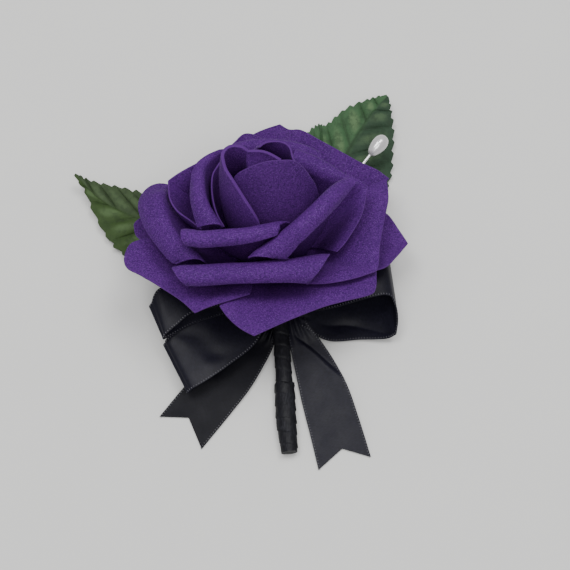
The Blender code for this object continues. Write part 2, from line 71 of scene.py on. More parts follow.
def through(points, corners, places):
    """Points read along a smooth line through the given ones, which turns sharply at corners."""
    points = np.asarray(points, float)
    stops = [0, *corners, len(points) - 1]
    found = np.zeros((len(places), points.shape[1]))
    for a, b in zip(stops, stops[1:]):
        run = points[a : b + 1]
        inside = (places >= a) & (places <= b)
        first, last = 2 * run[0] - run[1], 2 * run[-1] - run[-2]
        knots = np.vstack([first, run, last])
        local = np.clip(places[inside] - a, 0, b - a)
        i = np.minimum(local.astype(int), b - a - 1)
        t = (local - i)[:, None]
        p0, p1, p2, p3 = knots[i], knots[i + 1], knots[i + 2], knots[i + 3]
        bend = 2 * p0 - 5 * p1 + 4 * p2 - p3
        twist = 3 * p1 - p0 - 3 * p2 + p3
        found[inside] = 0.5 * (2 * p1 + (p2 - p0) * t + bend * t**2 + twist * t**3)
    return found


def on_bench(points, place=Matrix.Identity(4)):
    """Points in millimetres, turned and moved to where they lie in the model, in metres."""
    flat = np.asarray(points, float).reshape(-1, 3)
    turned_to = np.array((BENCH.to_3x3() @ place.to_3x3()), float)
    moved_to = np.array(BENCH.translation, float) / MM + np.array(place.translation, float)
    return (flat @ turned_to.T + moved_to) * MM


def new_piece(name, points, faces):
    mesh = bpy.data.meshes.new(name)
    mesh.from_pydata([tuple(p) for p in points], [], faces)
    mesh.shade_smooth()
    made = bpy.data.objects.new(name, mesh)
    bpy.context.scene.collection.objects.link(made)
    return made


def turned(name, outline, place, sides, steps):
    """A closed piece turned about z from (radius, height) points, the first and last of them on the axis."""
    line = through(outline, (), np.linspace(0, len(outline) - 1, (len(outline) - 1) * steps + 1))
    line[:, 0] = np.maximum(line[:, 0], 0.0)
    angles = np.arange(sides) * 2 * math.pi / sides
    rings = line[1:-1]
    points = [(r * math.cos(a), r * math.sin(a), h) for r, h in rings for a in angles]
    points += [(0, 0, line[0][1]), (0, 0, line[-1][1])]
    first, last, top = len(points) - 2, len(points) - 1, (len(rings) - 1) * sides
    faces = []
    for k in range(sides):
        m = (k + 1) % sides
        faces += [(first, m, k), (last, top + k, top + m)]
        faces += [(a + k, a + m, a + sides + m, a + sides + k) for a in range(0, top, sides)]
    return new_piece(name, on_bench(points, place), faces)


def add(tree, kind, *inputs, **settings):
    """A new node with its settings made, its open sockets linked or set in order, and its first output."""
    made = tree.nodes.new(kind)
    for key, value in settings.items():
        setattr(made, key, value)
    for socket, given in zip([s for s in made.inputs if s.enabled], inputs):
        if isinstance(given, bpy.types.NodeSocket):
            tree.links.new(given, socket)
        elif given is not None:
            socket.default_value = given
    return next(s for s in made.outputs if s.enabled)


def new_finish(name, roughness, **shader_values):
    """A material whose shader has its constant values set, and that shader with its tree."""
    made = bpy.data.materials.new(name)
    made.use_nodes = True
    shader = made.node_tree.nodes["Principled BSDF"]
    shader.inputs["Roughness"].default_value = roughness
    for key, value in shader_values.items():
        shader.inputs[key.replace("_", " ").title().replace("Ior", "IOR")].default_value = value
    return made, made.node_tree, shader


def mixed(tree, share, a, b):
    return add(tree, "ShaderNodeMix", share, a, b, data_type="RGBA")


def ramp(tree, value, low, high):
    """0 below low and 1 above high, smooth between them."""
    return add(tree, "ShaderNodeMapRange", value, low, high, 0.0, 1.0, interpolation_type="SMOOTHSTEP")


def calc(tree, operation, *values):
    return add(tree, "ShaderNodeMath", *values, operation=operation)


def craft_foam(name, tone):
    """Matt purple foam, finely pitted, with flecks that shine a little, and paler where the sheet is cut."""
    made, tree, shader = new_finish(name, 0.8, specular_ior_level=0.2)

    def toned(colour):
        return (*(part * tone for part in colour), 1)

    place = add(tree, "ShaderNodeTexCoord").node.outputs["Object"]
    broad = add(tree, "ShaderNodeTexNoise", place, 70.0, 4.0, 0.6)
    fine = add(tree, "ShaderNodeTexNoise", place, 2200.0, 3.0, 0.65)
    fleck = add(tree, "ShaderNodeTexVoronoi", place, 3600.0).node
    chosen = ramp(tree, add(tree, "ShaderNodeSeparateColor", fleck.outputs["Color"]), 0.45, 0.8)
    dot = ramp(tree, fleck.outputs["Distance"], 0.55, 0.2)
    shining = calc(tree, "MULTIPLY", dot, chosen)
    cut = add(tree, "ShaderNodeAttribute", attribute_name="cut_edge").node.outputs["Fac"]
    cut = ramp(tree, cut, 0.25, 0.6)
    sheet = mixed(tree, ramp(tree, broad, 0.35, 0.65), toned(FOAM_PURPLE), toned(FOAM_FADED))
    sheet = mixed(tree, ramp(tree, fine, 0.3, 0.62), toned(FOAM_PIT), sheet)
    # The flecks' lighter colour is partly their own and partly painted glint
    sheet = mixed(tree, shining, sheet, toned(FOAM_FLECK_GLINT))
    colour = mixed(tree, cut, sheet, toned(FOAM_CUT))
    tree.links.new(colour, shader.inputs["Base Color"])
    gloss = add(tree, "ShaderNodeMapRange", shining, 0.0, 1.0, 0.82, 0.5)
    tree.links.new(gloss, shader.inputs["Roughness"])
    height = calc(tree, "ADD", calc(tree, "MULTIPLY", shining, 0.3), fine)
    bump = add(tree, "ShaderNodeBump", 0.6, 0.00006, None, height)
    tree.links.new(bump, shader.inputs["Normal"])
    return made


FOAM = craft_foam("purple_craft_foam", 1.0)


def fit(piece, node):
    """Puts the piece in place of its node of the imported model, on the one body there is."""
    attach(piece, "root")
    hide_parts(node)


core = turned("bud_core_finished", CORE_OUTLINE, ROSE, sides=72, steps=4)
core.data.materials.append(FOAM)
fit(core, "bud_core")


# The petals: each is cut from foam sheet, warmed over a flame and drawn out over a finger, so that its lip
# rolls outwards, and glued to the core by its foot. They go on from the bud outwards, in rings. A tree of
# nodes gives each middle surface its thickness, the edge that the heat has thinned, and slow waves.
FOAM_SHEET = 1.1 * MM
FOAM_EDGE_SHARE = 0.45
FOAM_EDGE_WIDTH = 2.5 * MM
FOAM_WAVE = 0.35 * MM
CUT_ROUNDING = 0.16 * MM
EDGE_ROWS = np.array([0.0, 0.02, 0.05, 0.1, 0.17, 0.5, 1.2])
EDGE_ROWS_SHARE = 0.3
COLUMNS_PER_POINT = 9
BLADE_ROWS = 20
LIP_ROWS = 18
SHORTEST_BRIM = 0.05
BRIM_TURN = 0.25
SEED_STEP = 1.7
INNER_FOOT = (9.8, 7)
MIDDLE_FOOT = (8.6, 3.8)
OUTER_FOOT = (7.2, 1)


def around(azimuth, radius, height):
    a = math.radians(azimuth)
    return radius * math.cos(a), radius * math.sin(a), height


def petal_middle(rim, foot, lean=20.0, root_lean=30.0, roll=0.0, curl=3.0, brim=0.0, slide=0.0,
                 hollow=(0.0, 0.0), belly=0.4, corners=(), radial=False):
    """The middle surface of a petal: columns that rise from its foot to its rim and roll outwards there.

    rim lists (azimuth, radius, height) from one end to the other, counter-clockwise from above: the petal's
    edge or, where it rolls, the line that the lip rolls about. foot is that list's match at the root, or
    (azimuth, azimuth, radius, height) for a level one. lean and root_lean are the petal's angles off the
    axis at the rim and the foot, and belly is how far they carry into the blade. roll is how far the lip
    turns over, curl the radius it turns at, brim how far it then goes on nearly straight, slide how far each
    end of the lip draws in, and hollow how deep its two ends are scooped. corners are the rim points where
    the edge turns sharply. A radial petal leans straight out from the axis, and others square to their rim.
    """
    count = len(rim)
    places = np.linspace(0, count - 1, (count - 1) * COLUMNS_PER_POINT + 1)
    edge = through([around(*p) for p in rim], corners, places)
    run = unit(np.gradient(edge, axis=0))
    axis = np.array([0.0, 0.0, 1.0])
    if radial:
        run = unit(np.cross(axis, unit(edge * [1.0, 1.0, 0.0])))
    out = unit(np.cross(run, axis))
    rise = unit(np.cross(out, run))
    across = places / (count - 1)

    def spread(value):
        value = np.atleast_1d(np.asarray(value, float))
        if len(value) < 3:
            return np.interp(across, np.linspace(0, 1, len(value)), value)
        return through(value[:, None], (), across * (len(value) - 1))[:, 0]

    lean_at = np.radians(spread(lean))
    roll_at = np.radians(np.maximum(spread(roll), 0.0))
    curl_at = spread(curl)
    slide_at = spread(slide)
    turned_over = np.clip(roll_at / (math.pi / 2), 0, 1) * curl_at
    tucked = rise * np.sin(lean_at)[:, None] - out * np.cos(lean_at)[:, None]
    edge = edge + tucked * turned_over[:, None]
    if isinstance(foot, list):
        feet = through([around(*p) for p in foot], (), places * (len(foot) - 1) / (count - 1))
    else:
        start, end, radius, height = foot
        turn = np.radians(spread([start, end]))
        feet = np.stack([radius * np.cos(turn), radius * np.sin(turn), np.full_like(turn, height)], axis=1)
    root_out = unit(feet * [1.0, 1.0, 0.0])
    root_slope = np.radians(spread(root_lean))[:, None]
    start_way = root_out * np.sin(root_slope) + axis * np.cos(root_slope)
    end_way = out * np.sin(lean_at)[:, None] + rise * np.cos(lean_at)[:, None]
    reach = np.linalg.norm(edge - feet, axis=1)[:, None] * belly
    rows = []
    for t in np.linspace(0, 1, BLADE_ROWS + 1):
        a, b = feet + start_way * reach, edge - end_way * reach
        rows.append((1 - t) ** 3 * feet + 3 * (1 - t) ** 2 * t * a + 3 * (1 - t) * t * t * b + t**3 * edge)
    side = 2 * across - 1
    scoop = np.where(side < 0, hollow[0], hollow[1]) * np.abs(side) ** 8
    if np.max(roll_at) > 0:
        brim_at = np.maximum(spread(brim), SHORTEST_BRIM)
        whole = curl_at * roll_at + brim_at
        up, away, before = np.zeros_like(whole), np.zeros_like(whole), 0.0
        for t in np.linspace(0, 1, LIP_ROWS + 1)[1:]:
            middle_reach = whole * (t + before) / 2
            past_curl = np.maximum(middle_reach - curl_at * roll_at, 0.0)
            turned_by = np.minimum(middle_reach / curl_at, roll_at)
            turned_by = turned_by + BRIM_TURN * past_curl / brim_at * roll_at
            up = up + np.cos(lean_at + turned_by) * whole * (t - before)
            away = away + np.sin(lean_at + turned_by) * whole * (t - before)
            drawn = -np.sign(side) * np.abs(side) ** 2 * slide_at * t**1.5
            drawn = drawn - np.sign(side) * scoop * math.sin(math.pi * t)
            rows.append(edge + rise * up[:, None] + out * away[:, None] + run * drawn[:, None])
            before = t
    return np.array(rows)


def reach_along(grid, axis):
    """How far each point lies along its own row or column from the first one."""
    steps = np.linalg.norm(np.diff(grid[..., :3], axis=axis), axis=-1)
    return np.insert(np.cumsum(steps, axis=axis), 0, 0.0, axis=axis)


def fine_edges(grid):
    """The same surface with fine rows close to all four edges, where the cut edge rounds over."""
    for _ in range(2):
        lines = []
        for line, reach in zip(grid, reach_along(grid, 1)):
            whole = reach[-1]
            near = EDGE_ROWS * min(1.0, EDGE_ROWS_SHARE * whole / EDGE_ROWS[-1])
            inner = near[-1] + reach[1:-1] / whole * (whole - 2 * near[-1])
            marks = np.concatenate([near, inner, whole - near[::-1]])
            read = [np.interp(marks, reach, line[:, k]) for k in range(line.shape[1])]
            lines.append(np.stack(read, axis=1))
        grid = np.swapaxes(np.array(lines), 0, 1)
    return grid


def sheet_blank(name, grid, place=Matrix.Identity(4)):
    """A surface over a grid of points in millimetres that knows how far each point lies from its edge."""
    rows, columns = grid.shape[:2]
    faces = []
    for r in range(rows - 1):
        for c in range(columns - 1):
            a = r * columns + c
            faces.append((a, a + 1, a + columns + 1, a + columns))
    blank = new_piece(name, on_bench(grid, place), faces)
    across, along = reach_along(grid, 1), reach_along(grid, 0)
    ends = [across, across[:, -1:] - across, along, along[-1:] - along]
    rim = blank.data.attributes.new("rim_distance", "FLOAT", "POINT")
    rim.data.foreach_set("value", np.min(ends, axis=0).ravel() * MM)
    layout = np.stack([across, along], axis=-1) * MM
    chart = blank.data.uv_layers.new(name="UVMap")
    corners = np.zeros(len(blank.data.loops), int)
    blank.data.loops.foreach_get("vertex_index", corners)
    chart.data.foreach_set("uv", layout.reshape(-1, 2)[corners].ravel())
    return blank


def new_tree(name, sizes):
    """An empty tree of geometry nodes with a shape, named sizes and a finish as its inputs."""
    tree = bpy.data.node_groups.new(name, "GeometryNodeTree")
    tree.interface.new_socket("Shape", in_out="INPUT", socket_type="NodeSocketGeometry")
    for key, value in sizes.items():
        tree.interface.new_socket(key, in_out="INPUT", socket_type="NodeSocketFloat").default_value = value
    tree.interface.new_socket("Finish", in_out="INPUT", socket_type="NodeSocketMaterial")
    tree.interface.new_socket("Shape", in_out="OUTPUT", socket_type="NodeSocketGeometry")
    given = tree.nodes.new("NodeGroupInput").outputs
    return tree, given


def end_tree(tree, given, shape):
    """Ends the tree with its instances made real and the given finish on the whole shape."""
    shape = add(tree, "GeometryNodeRealizeInstances", shape)
    shape = add(tree, "GeometryNodeSetShadeSmooth", shape)
    shape = add(tree, "GeometryNodeSetMaterial", shape, None, given["Finish"])
    out = tree.nodes.new("NodeGroupOutput")
    tree.links.new(shape, out.inputs["Shape"])
    return tree


def run_tree(piece, tree, finish, sizes):
    """Runs the tree on the piece with these sizes, and keeps the result as its plain mesh."""
    worker = piece.modifiers.new(tree.name, "NODES")
    worker.node_group = tree
    sockets = {s.name: s.identifier for s in tree.interface.items_tree if s.in_out == "INPUT"}
    for key, value in sizes.items():
        worker[sockets[key]] = value
    worker[sockets["Finish"]] = finish
    depsgraph = bpy.context.evaluated_depsgraph_get()
    mesh = bpy.data.meshes.new_from_object(piece.evaluated_get(depsgraph), preserve_all_data_layers=True,
                                           depsgraph=depsgraph)
    piece.modifiers.clear()
    piece.data = mesh
    return piece


def cut_sheet_tree():
    """Thickness on both sides of a middle surface, pressed thin and rounded at its edge, and slow waves."""
    tree, given = new_tree("cut sheet", {"Thickness": FOAM_SHEET, "Edge Rounding": CUT_ROUNDING,
                                         "Edge Share": FOAM_EDGE_SHARE, "Edge Width": FOAM_EDGE_WIDTH,
                                         "Wave Height": FOAM_WAVE, "Wave Length": 12 * MM, "Seed": 0.0})
    place = add(tree, "GeometryNodeInputPosition")
    facing = add(tree, "GeometryNodeInputNormal")
    rim = add(tree, "GeometryNodeInputNamedAttribute", "rim_distance", data_type="FLOAT")
    near = add(tree, "ShaderNodeMath", 1.0, calc(tree, "DIVIDE", rim, given["Edge Rounding"]),
               operation="SUBTRACT", use_clamp=True)
    rounded = calc(tree, "SQRT", calc(tree, "SUBTRACT", 1.0, calc(tree, "MULTIPLY", near, near)))
    pressed = add(tree, "ShaderNodeMapRange", rim, 0.0, given["Edge Width"], given["Edge Share"], 1.0,
                  interpolation_type="SMOOTHSTEP")
    thick = calc(tree, "MULTIPLY", given["Thickness"], pressed)
    half = calc(tree, "MULTIPLY", calc(tree, "MULTIPLY", thick, 0.5), rounded)
    scale = calc(tree, "DIVIDE", 1.0, given["Wave Length"])
    slow = add(tree, "ShaderNodeTexNoise", place, given["Seed"], scale, 2.0, 0.5, noise_dimensions="4D")
    wave = calc(tree, "MULTIPLY", calc(tree, "SUBTRACT", slow, 0.5), given["Wave Height"])
    marked = add(tree, "GeometryNodeStoreNamedAttribute", given["Shape"], None, "cut_edge", near)
    front = add(tree, "ShaderNodeVectorMath", facing, None, None, None, operation="SCALE")
    tree.links.new(calc(tree, "ADD", wave, half), front.node.inputs["Scale"])
    back = add(tree, "ShaderNodeVectorMath", facing, None, None, None, operation="SCALE")
    tree.links.new(calc(tree, "SUBTRACT", wave, half), back.node.inputs["Scale"])
    upper = add(tree, "GeometryNodeSetPosition", marked, None, None, front)
    lower = add(tree, "GeometryNodeFlipFaces", add(tree, "GeometryNodeSetPosition", marked, None, None, back))
    both = tree.nodes.new("GeometryNodeJoinGeometry")
    tree.links.new(upper, both.inputs[0])
    tree.links.new(lower, both.inputs[0])
    closed = add(tree, "GeometryNodeMergeByDistance", both.outputs[0], None, 1e-7)
    return end_tree(tree, given, closed)


CUT_SHEET = cut_sheet_tree()
# A darker copy of the foam for the bud's front petal: painted shade, as its steep front gets less light
SHADED_BUD_FOAM = craft_foam("purple_craft_foam_painted_shade", 0.86)
petal_numbers = itertools.count(1)


def petal(node, rim, foot, edge_share=FOAM_EDGE_SHARE, foam=FOAM, **shape):
    grid = fine_edges(petal_middle(rim, foot, **shape))
    piece = sheet_blank(f"{node}_finished", grid, ROSE)
    run_tree(piece, CUT_SHEET, foam, {"Edge Share": edge_share, "Seed": SEED_STEP * next(petal_numbers)})
    fit(piece, node)


# The bud: a domed front petal, one spiralling in from the left, one round the back and one outside them
petal("bud_petal_front",
      [(203, 11.2, 30), (204, 12.0, 34), (205.5, 12.6, 37), (207, 12.4, 39.6), (212, 10.6, 41.6),
       (223, 7.4, 43.4), (243.6, 5.2, 44.3), (274, 4.6, 44.6), (305, 5.0, 44.3), (320, 6.2, 43.6),
       (328, 8.0, 41.7), (331, 10.0, 39), (335, 11.8, 35.3), (338, 13.0, 29.5)],
      [(200, 9.0, 10.5), (236, 9.0, 10.5), (272, 9.5, 10.5), (309, 10.4, 10.5), (345, 10.8, 10.5)],
      lean=[-5, -8, -12, -16, -19, -20, -20, -20, -20, -20, -18, -14, -8, -3],
      # the front petal's darker foam is painted shade
      root_lean=[10, 9, 11, 14, 10], radial=True, foam=SHADED_BUD_FOAM)
petal("bud_petal_left",
      [(285, 2.7, 42.8), (216, 2.2, 43.4), (191, 4.0, 43.9), (187.5, 6.1, 44.1), (187.5, 8.2, 44.2),
       (182, 8.3, 43.5), (178.5, 9.4, 44.1), (177.8, 11.2, 44.5), (179.4, 13.0, 44.5), (184, 14.3, 44.3),
       (189, 15.1, 43.8), (194.4, 15.2, 43), (202, 15.0, 41.5), (213, 14.5, 40.2), (227.6, 14.3, 37.7),
       (241.4, 14.7, 34.7), (251.4, 15.0, 31.2), (254.8, 14.7, 28.5)],
      [(285, 4.6, 33), (262, 4.6, 33), (236, 5.2, 33), (222, 6.6, 33), (213, 8.0, 33), (180, 7.6, 28),
       (150, 8.0, 20), (146, 8.6, 13), (150, 8.9, 11), (158, 8.9, 10.5), (166, 9.2, 10.5), (174, 9.7, 10.5),
       (184, 10.3, 10.5), (195, 10.7, 10.5), (208, 10.7, 10.5), (222, 10.7, 10.5), (237, 10.7, 10.5),
       (250, 10.7, 10.5)],
      lean=[-5, -5, -5, -5, -5, -5, -6, -6, -5, -4, -5, -6, -7, -8, -8, -7, -5, 0],
      root_lean=[0, 0, 0, 0, 0, 0, 5, 12, 16, 19, 21, 22, 22, 22, 21, 20, 17, 15], corners=(4,),
      radial=True, edge_share=0.9)
petal("bud_petal_back",
      [(312, 8.0, 36), (325, 6.4, 40.5), (335, 4.2, 43), (23, 3.3, 43.5), (66, 3.5, 43.5), (105, 3.7, 43.5),
       (135, 4.8, 43), (155, 5.6, 42.2)],
      [(318, 9.0, 10.5), (336, 9.0, 10.5), (355, 9.0, 10.5), (25, 9.2, 10.5), (60, 9.6, 10.5),
       (95, 10.3, 10.5), (130, 10.7, 10.5), (160, 10.7, 10.5)],
      lean=[-30, -24, -12, -4, -2, -10, -30, -40], root_lean=[4, 4, 6, 12, 18, 20, 20, 22], radial=True,
      belly=0.39)
petal("bud_petal_outer",
      [(140, 16.0, 31), (153, 16.6, 32), (163, 17.2, 31.5), (173, 17.8, 30.5), (189, 17.7, 28.5),
       (204, 17.6, 26), (217, 17.4, 24)],
      (134, 207, 12.4, 11), lean=5, root_lean=20)

# The inner ring, whose lips are rolled tightly outwards
petal("inner_petal_left",
      [(140, 19.2, 31.2), (159, 20.4, 31.7), (172, 21.3, 31.6), (184, 21.2, 31.1), (194, 21.4, 30.4),
       (204, 21.4, 29.3), (214, 21.3, 28.1), (223, 21.2, 26.7)],
      (138, 208, *INNER_FOOT), lean=14, root_lean=57, roll=[30, 56, 88, 105, 112, 115, 115, 112],
      curl=[1.2, 1.3, 1.4, 1.6], brim=[0.3, 0.8, 1.6, 2.2, 2.8, 3.3, 3.8, 4.2], slide=[2, 2, 2, 4],
      hollow=(0, 0.9))
petal("inner_petal_front",
      [(215, 31.0, 27.3), (224, 28.0, 28.2), (235, 23.4, 28.8), (248, 20.3, 29.4), (262, 17.8, 29.8),
       (276, 15.8, 29.3), (287, 15.3, 28.8)],
      [(216, 9.8, 7), (226, 9.8, 7), (236, 9.8, 7), (246, 10.4, 7.8), (255, 11.6, 9.2), (261, 12.2, 10.0),
       (266, 12.5, 10.6)],
      lean=[50, 42, 32, 20, 12, 8, 8], root_lean=[48, 50, 52, 44, 30, 18],
      roll=[140, 150, 160, 160, 155, 145, 110], curl=[2.1, 2.1, 2.1, 2.1, 2.1, 2.0, 1.8], slide=[2, 2, 3, 9])
petal("inner_petal_right",
      [(255, 23.6, 23.2), (266, 20.3, 25.6), (280, 18.4, 28.7), (291, 18.1, 31.5), (311, 17.3, 34.3),
       (334, 17.6, 35.3), (350, 20.0, 35.3)],
      (268, 337, *INNER_FOOT), lean=[34, 24, 14, 12, 10, 10, 12], root_lean=[30, 28, 26, 24, 24, 26, 28],
      roll=[110, 115, 120, 120, 125, 130, 95], curl=[1.9, 2.0, 2.1, 2.2, 2.2, 2.1, 1.8],
      brim=[4.5, 4.2, 3.5, 2.8, 2.2, 1.8, 1.1], slide=[9, 4, 2, -1], hollow=(1.4, 0))
petal("inner_petal_back_right",
      [(326, 20.6, 16.5), (335, 21.7, 18.5), (354, 23.9, 22), (372, 26.0, 24.5), (379.5, 21.3, 24.6),
       (390, 18.3, 25.2), (405, 16.2, 26.1), (418, 14.8, 26.8), (430, 14.8, 27)],
      (350, 420, *INNER_FOOT), lean=[66, 66, 64, 50, 16, 0, -8, -10, -10], root_lean=[86, 84, 78, 66],
      roll=[0, 0, 0, 10, 80, 125, 148, 150, 145], curl=2.6, brim=0.6, belly=0.31, corners=(3,), radial=True)
petal("inner_petal_back",
      [(49, 20.6, 24.8), (70, 19.3, 26), (92, 18.8, 26.5), (112, 19.2, 27), (130, 20.2, 27)],
      (74, 130, *INNER_FOOT), lean=20, root_lean=52, roll=[110, 140, 140, 120], curl=1.8, slide=2)

# The middle ring
petal("middle_petal_left",
      [(162, 25.0, 14), (168.5, 29.6, 18), (175, 32.2, 20.3), (181, 32.3, 20.7), (191, 31.5, 20.4),
       (200, 30.8, 20.1), (210, 30.2, 19.9), (219, 29.4, 19.8), (226, 29.4, 19.3)],
      (167, 214, *MIDDLE_FOOT), lean=[60, 50, 45, 38, 34, 32, 30, 30, 30], root_lean=66,
      roll=[0, 20, 66, 85, 92, 98, 105, 105, 100], curl=2.0,
      brim=[0.5, 3.0, 5.4, 6.0, 5.4, 4.6, 4.2, 4.0, 4.0], slide=[1.6, 0, 2, 5], hollow=(0, 0.9))
petal("middle_petal_front",
      [(221.5, 36.6, 18.2), (226, 33.6, 18.6), (231, 31.1, 18.8), (241, 27.2, 19.2), (254.7, 24.5, 19.6),
       (270.6, 23.2, 20), (287, 23.1, 19.5), (298, 23.9, 19.2), (308, 25.7, 19.3)],
      (221, 300, *MIDDLE_FOOT), lean=[48, 44, 40, 34, 28, 28, 30, 32, 34], root_lean=68,
      roll=150, curl=[2.5, 2.7, 2.8, 3.0, 3.3, 3.8, 4.0], slide=[4, 2, 2, 8])
petal("middle_petal_right",
      [(290, 20.6, 11.6), (304, 25.2, 13.6), (318, 29.2, 14.4), (331, 32.9, 14), (336, 32.2, 14.5),
       (346, 30.8, 15.5), (4.7 + 360, 31.8, 17), (14.4 + 360, 33.8, 18), (25.6 + 360, 36.0, 18.5)],
      (290, 378, *MIDDLE_FOOT), lean=88, root_lean=56, corners=(3,), radial=True)
petal("middle_petal_back_right",
      [(27, 37.6, 17), (34, 36.0, 17.5), (42, 33.6, 18), (53.7, 32.5, 18.5), (66, 32.8, 19), (77, 34.8, 19),
       (83, 33.9, 19)],
      (24, 80, *MIDDLE_FOOT), lean=[45, 40, 40, 38, 40], root_lean=60, radial=True)
petal("middle_petal_back",
      [(86, 27.0, 20), (95, 28.0, 20), (102, 31.0, 20), (107, 31.6, 20), (113, 29.5, 20), (120, 27.5, 20)],
      (87, 116, *MIDDLE_FOOT), lean=42, root_lean=66, radial=True)
petal("middle_petal_back_left",
      [(140, 22.8, 26.5), (156, 24.9, 27), (164, 27.9, 26), (169, 30.6, 24.5), (174, 30.0, 24),
       (181, 29.2, 23.5), (188, 27.4, 22.7), (196, 24.3, 22), (205, 22.0, 21.5)],
      (118, 156, *MIDDLE_FOOT), lean=[36, 38, 40, 42, 36, 28, 22, 16, 12], root_lean=66, corners=(3,),
      radial=True)

# The outer ring, which lies open
petal("outer_petal_left",
      [(165, 34.0, 10), (173, 37.8, 10.5), (176, 39.6, 10), (179, 39.6, 10), (184, 38.6, 10),
       (189, 35.0, 10)],
      (160, 184, *OUTER_FOOT), lean=72, root_lean=65, radial=True)
petal("outer_petal_front_left",
      [(189, 36.4, 13), (191, 40.8, 12.5), (197, 43.3, 12), (202, 43.4, 12), (207, 41.0, 12),
       (216, 38.3, 12), (227, 36.9, 12), (236, 37.7, 12), (240, 33.7, 12.5), (247, 29.6, 13),
       (256, 25.7, 13)],
      (190, 234, *OUTER_FOOT), lean=86, root_lean=60, corners=(7,), radial=True)
petal("outer_petal_front",
      [(243, 31.8, 11.5), (249, 34.2, 11.5), (256, 36.7, 11.5), (262.7, 38.5, 11.5), (276, 33.2, 11.5),
       (295, 30.7, 11.5), (308, 31.9, 11.5), (320, 35.0, 11.5), (325, 34.9, 11.5), (334, 32.3, 11.5)],
      (244, 322, *OUTER_FOOT), lean=94, root_lean=56, corners=(3,), radial=True)
petal("outer_petal_right",
      [(334, 28.0, 8.5), (342, 33.3, 9), (349, 35.4, 9), (359, 38.9, 9), (6 + 360, 37.0, 9),
       (17 + 360, 34.7, 9.5), (22 + 360, 31.0, 9)],
      (332, 380, *OUTER_FOOT), lean=72, root_lean=65, corners=(3,), radial=True)
petal("outer_petal_back_right",
      [(27, 31.0, 9), (36, 35.0, 8), (46, 37.0, 7.5), (58, 35.5, 8), (70, 32.0, 9)],
      (25, 70, *OUTER_FOOT), lean=75, root_lean=65, radial=True)
petal("outer_petal_back",
      [(77, 38.0, 12), (80, 41.0, 12.5), (84, 41.1, 12.5), (87.6, 42.4, 13), (95, 39.7, 13),
       (101, 36.9, 13.5), (110, 33.0, 13.5)],
      (75, 110, *OUTER_FOOT), lean=52, root_lean=66, corners=(3,), radial=True)
petal("outer_petal_back_left",
      [(115, 32.0, 5.6), (126, 35.0, 3.0), (137, 36.0, 1.4), (148, 34.0, 3.4), (156, 31.0, 6.2)],
      (114, 156, *OUTER_FOOT), lean=82, root_lean=65, radial=True)


# The stem: a wire bound in green paper carries the rose, and black crepe tape is wound over it and over the
# leaves' stalks, stretched as it goes. A second winding, torn at its start, makes the lower part thicker.
STEM_LINE = [(-2.95, -1.2, 3.4), (-2.1, -8.0, 3.3), (-1.3, -14.0, 3.1), (-0.9, -20.0, 2.9),
             (-0.4, -27.6, 2.7), (0.0, -34.6, 2.5), (0.4, -42.0, 2.4), (1.3, -50.8, 2.2)]
STEM_RADII = [2.1, 2.15, 2.2, 2.2, 2.2, 2.3, 2.3, 1.7]
WIRE_LINE = [(-4.0, 5.9, 6.1), (-3.95, 4.6, 4.6), (-3.6, 2.0, 3.8), (-3.1, -0.6, 3.5)]
WIRE_RADIUS = 1.1
SECOND_WINDING_AT = 29.6
STEPS_PER_POINT = 8


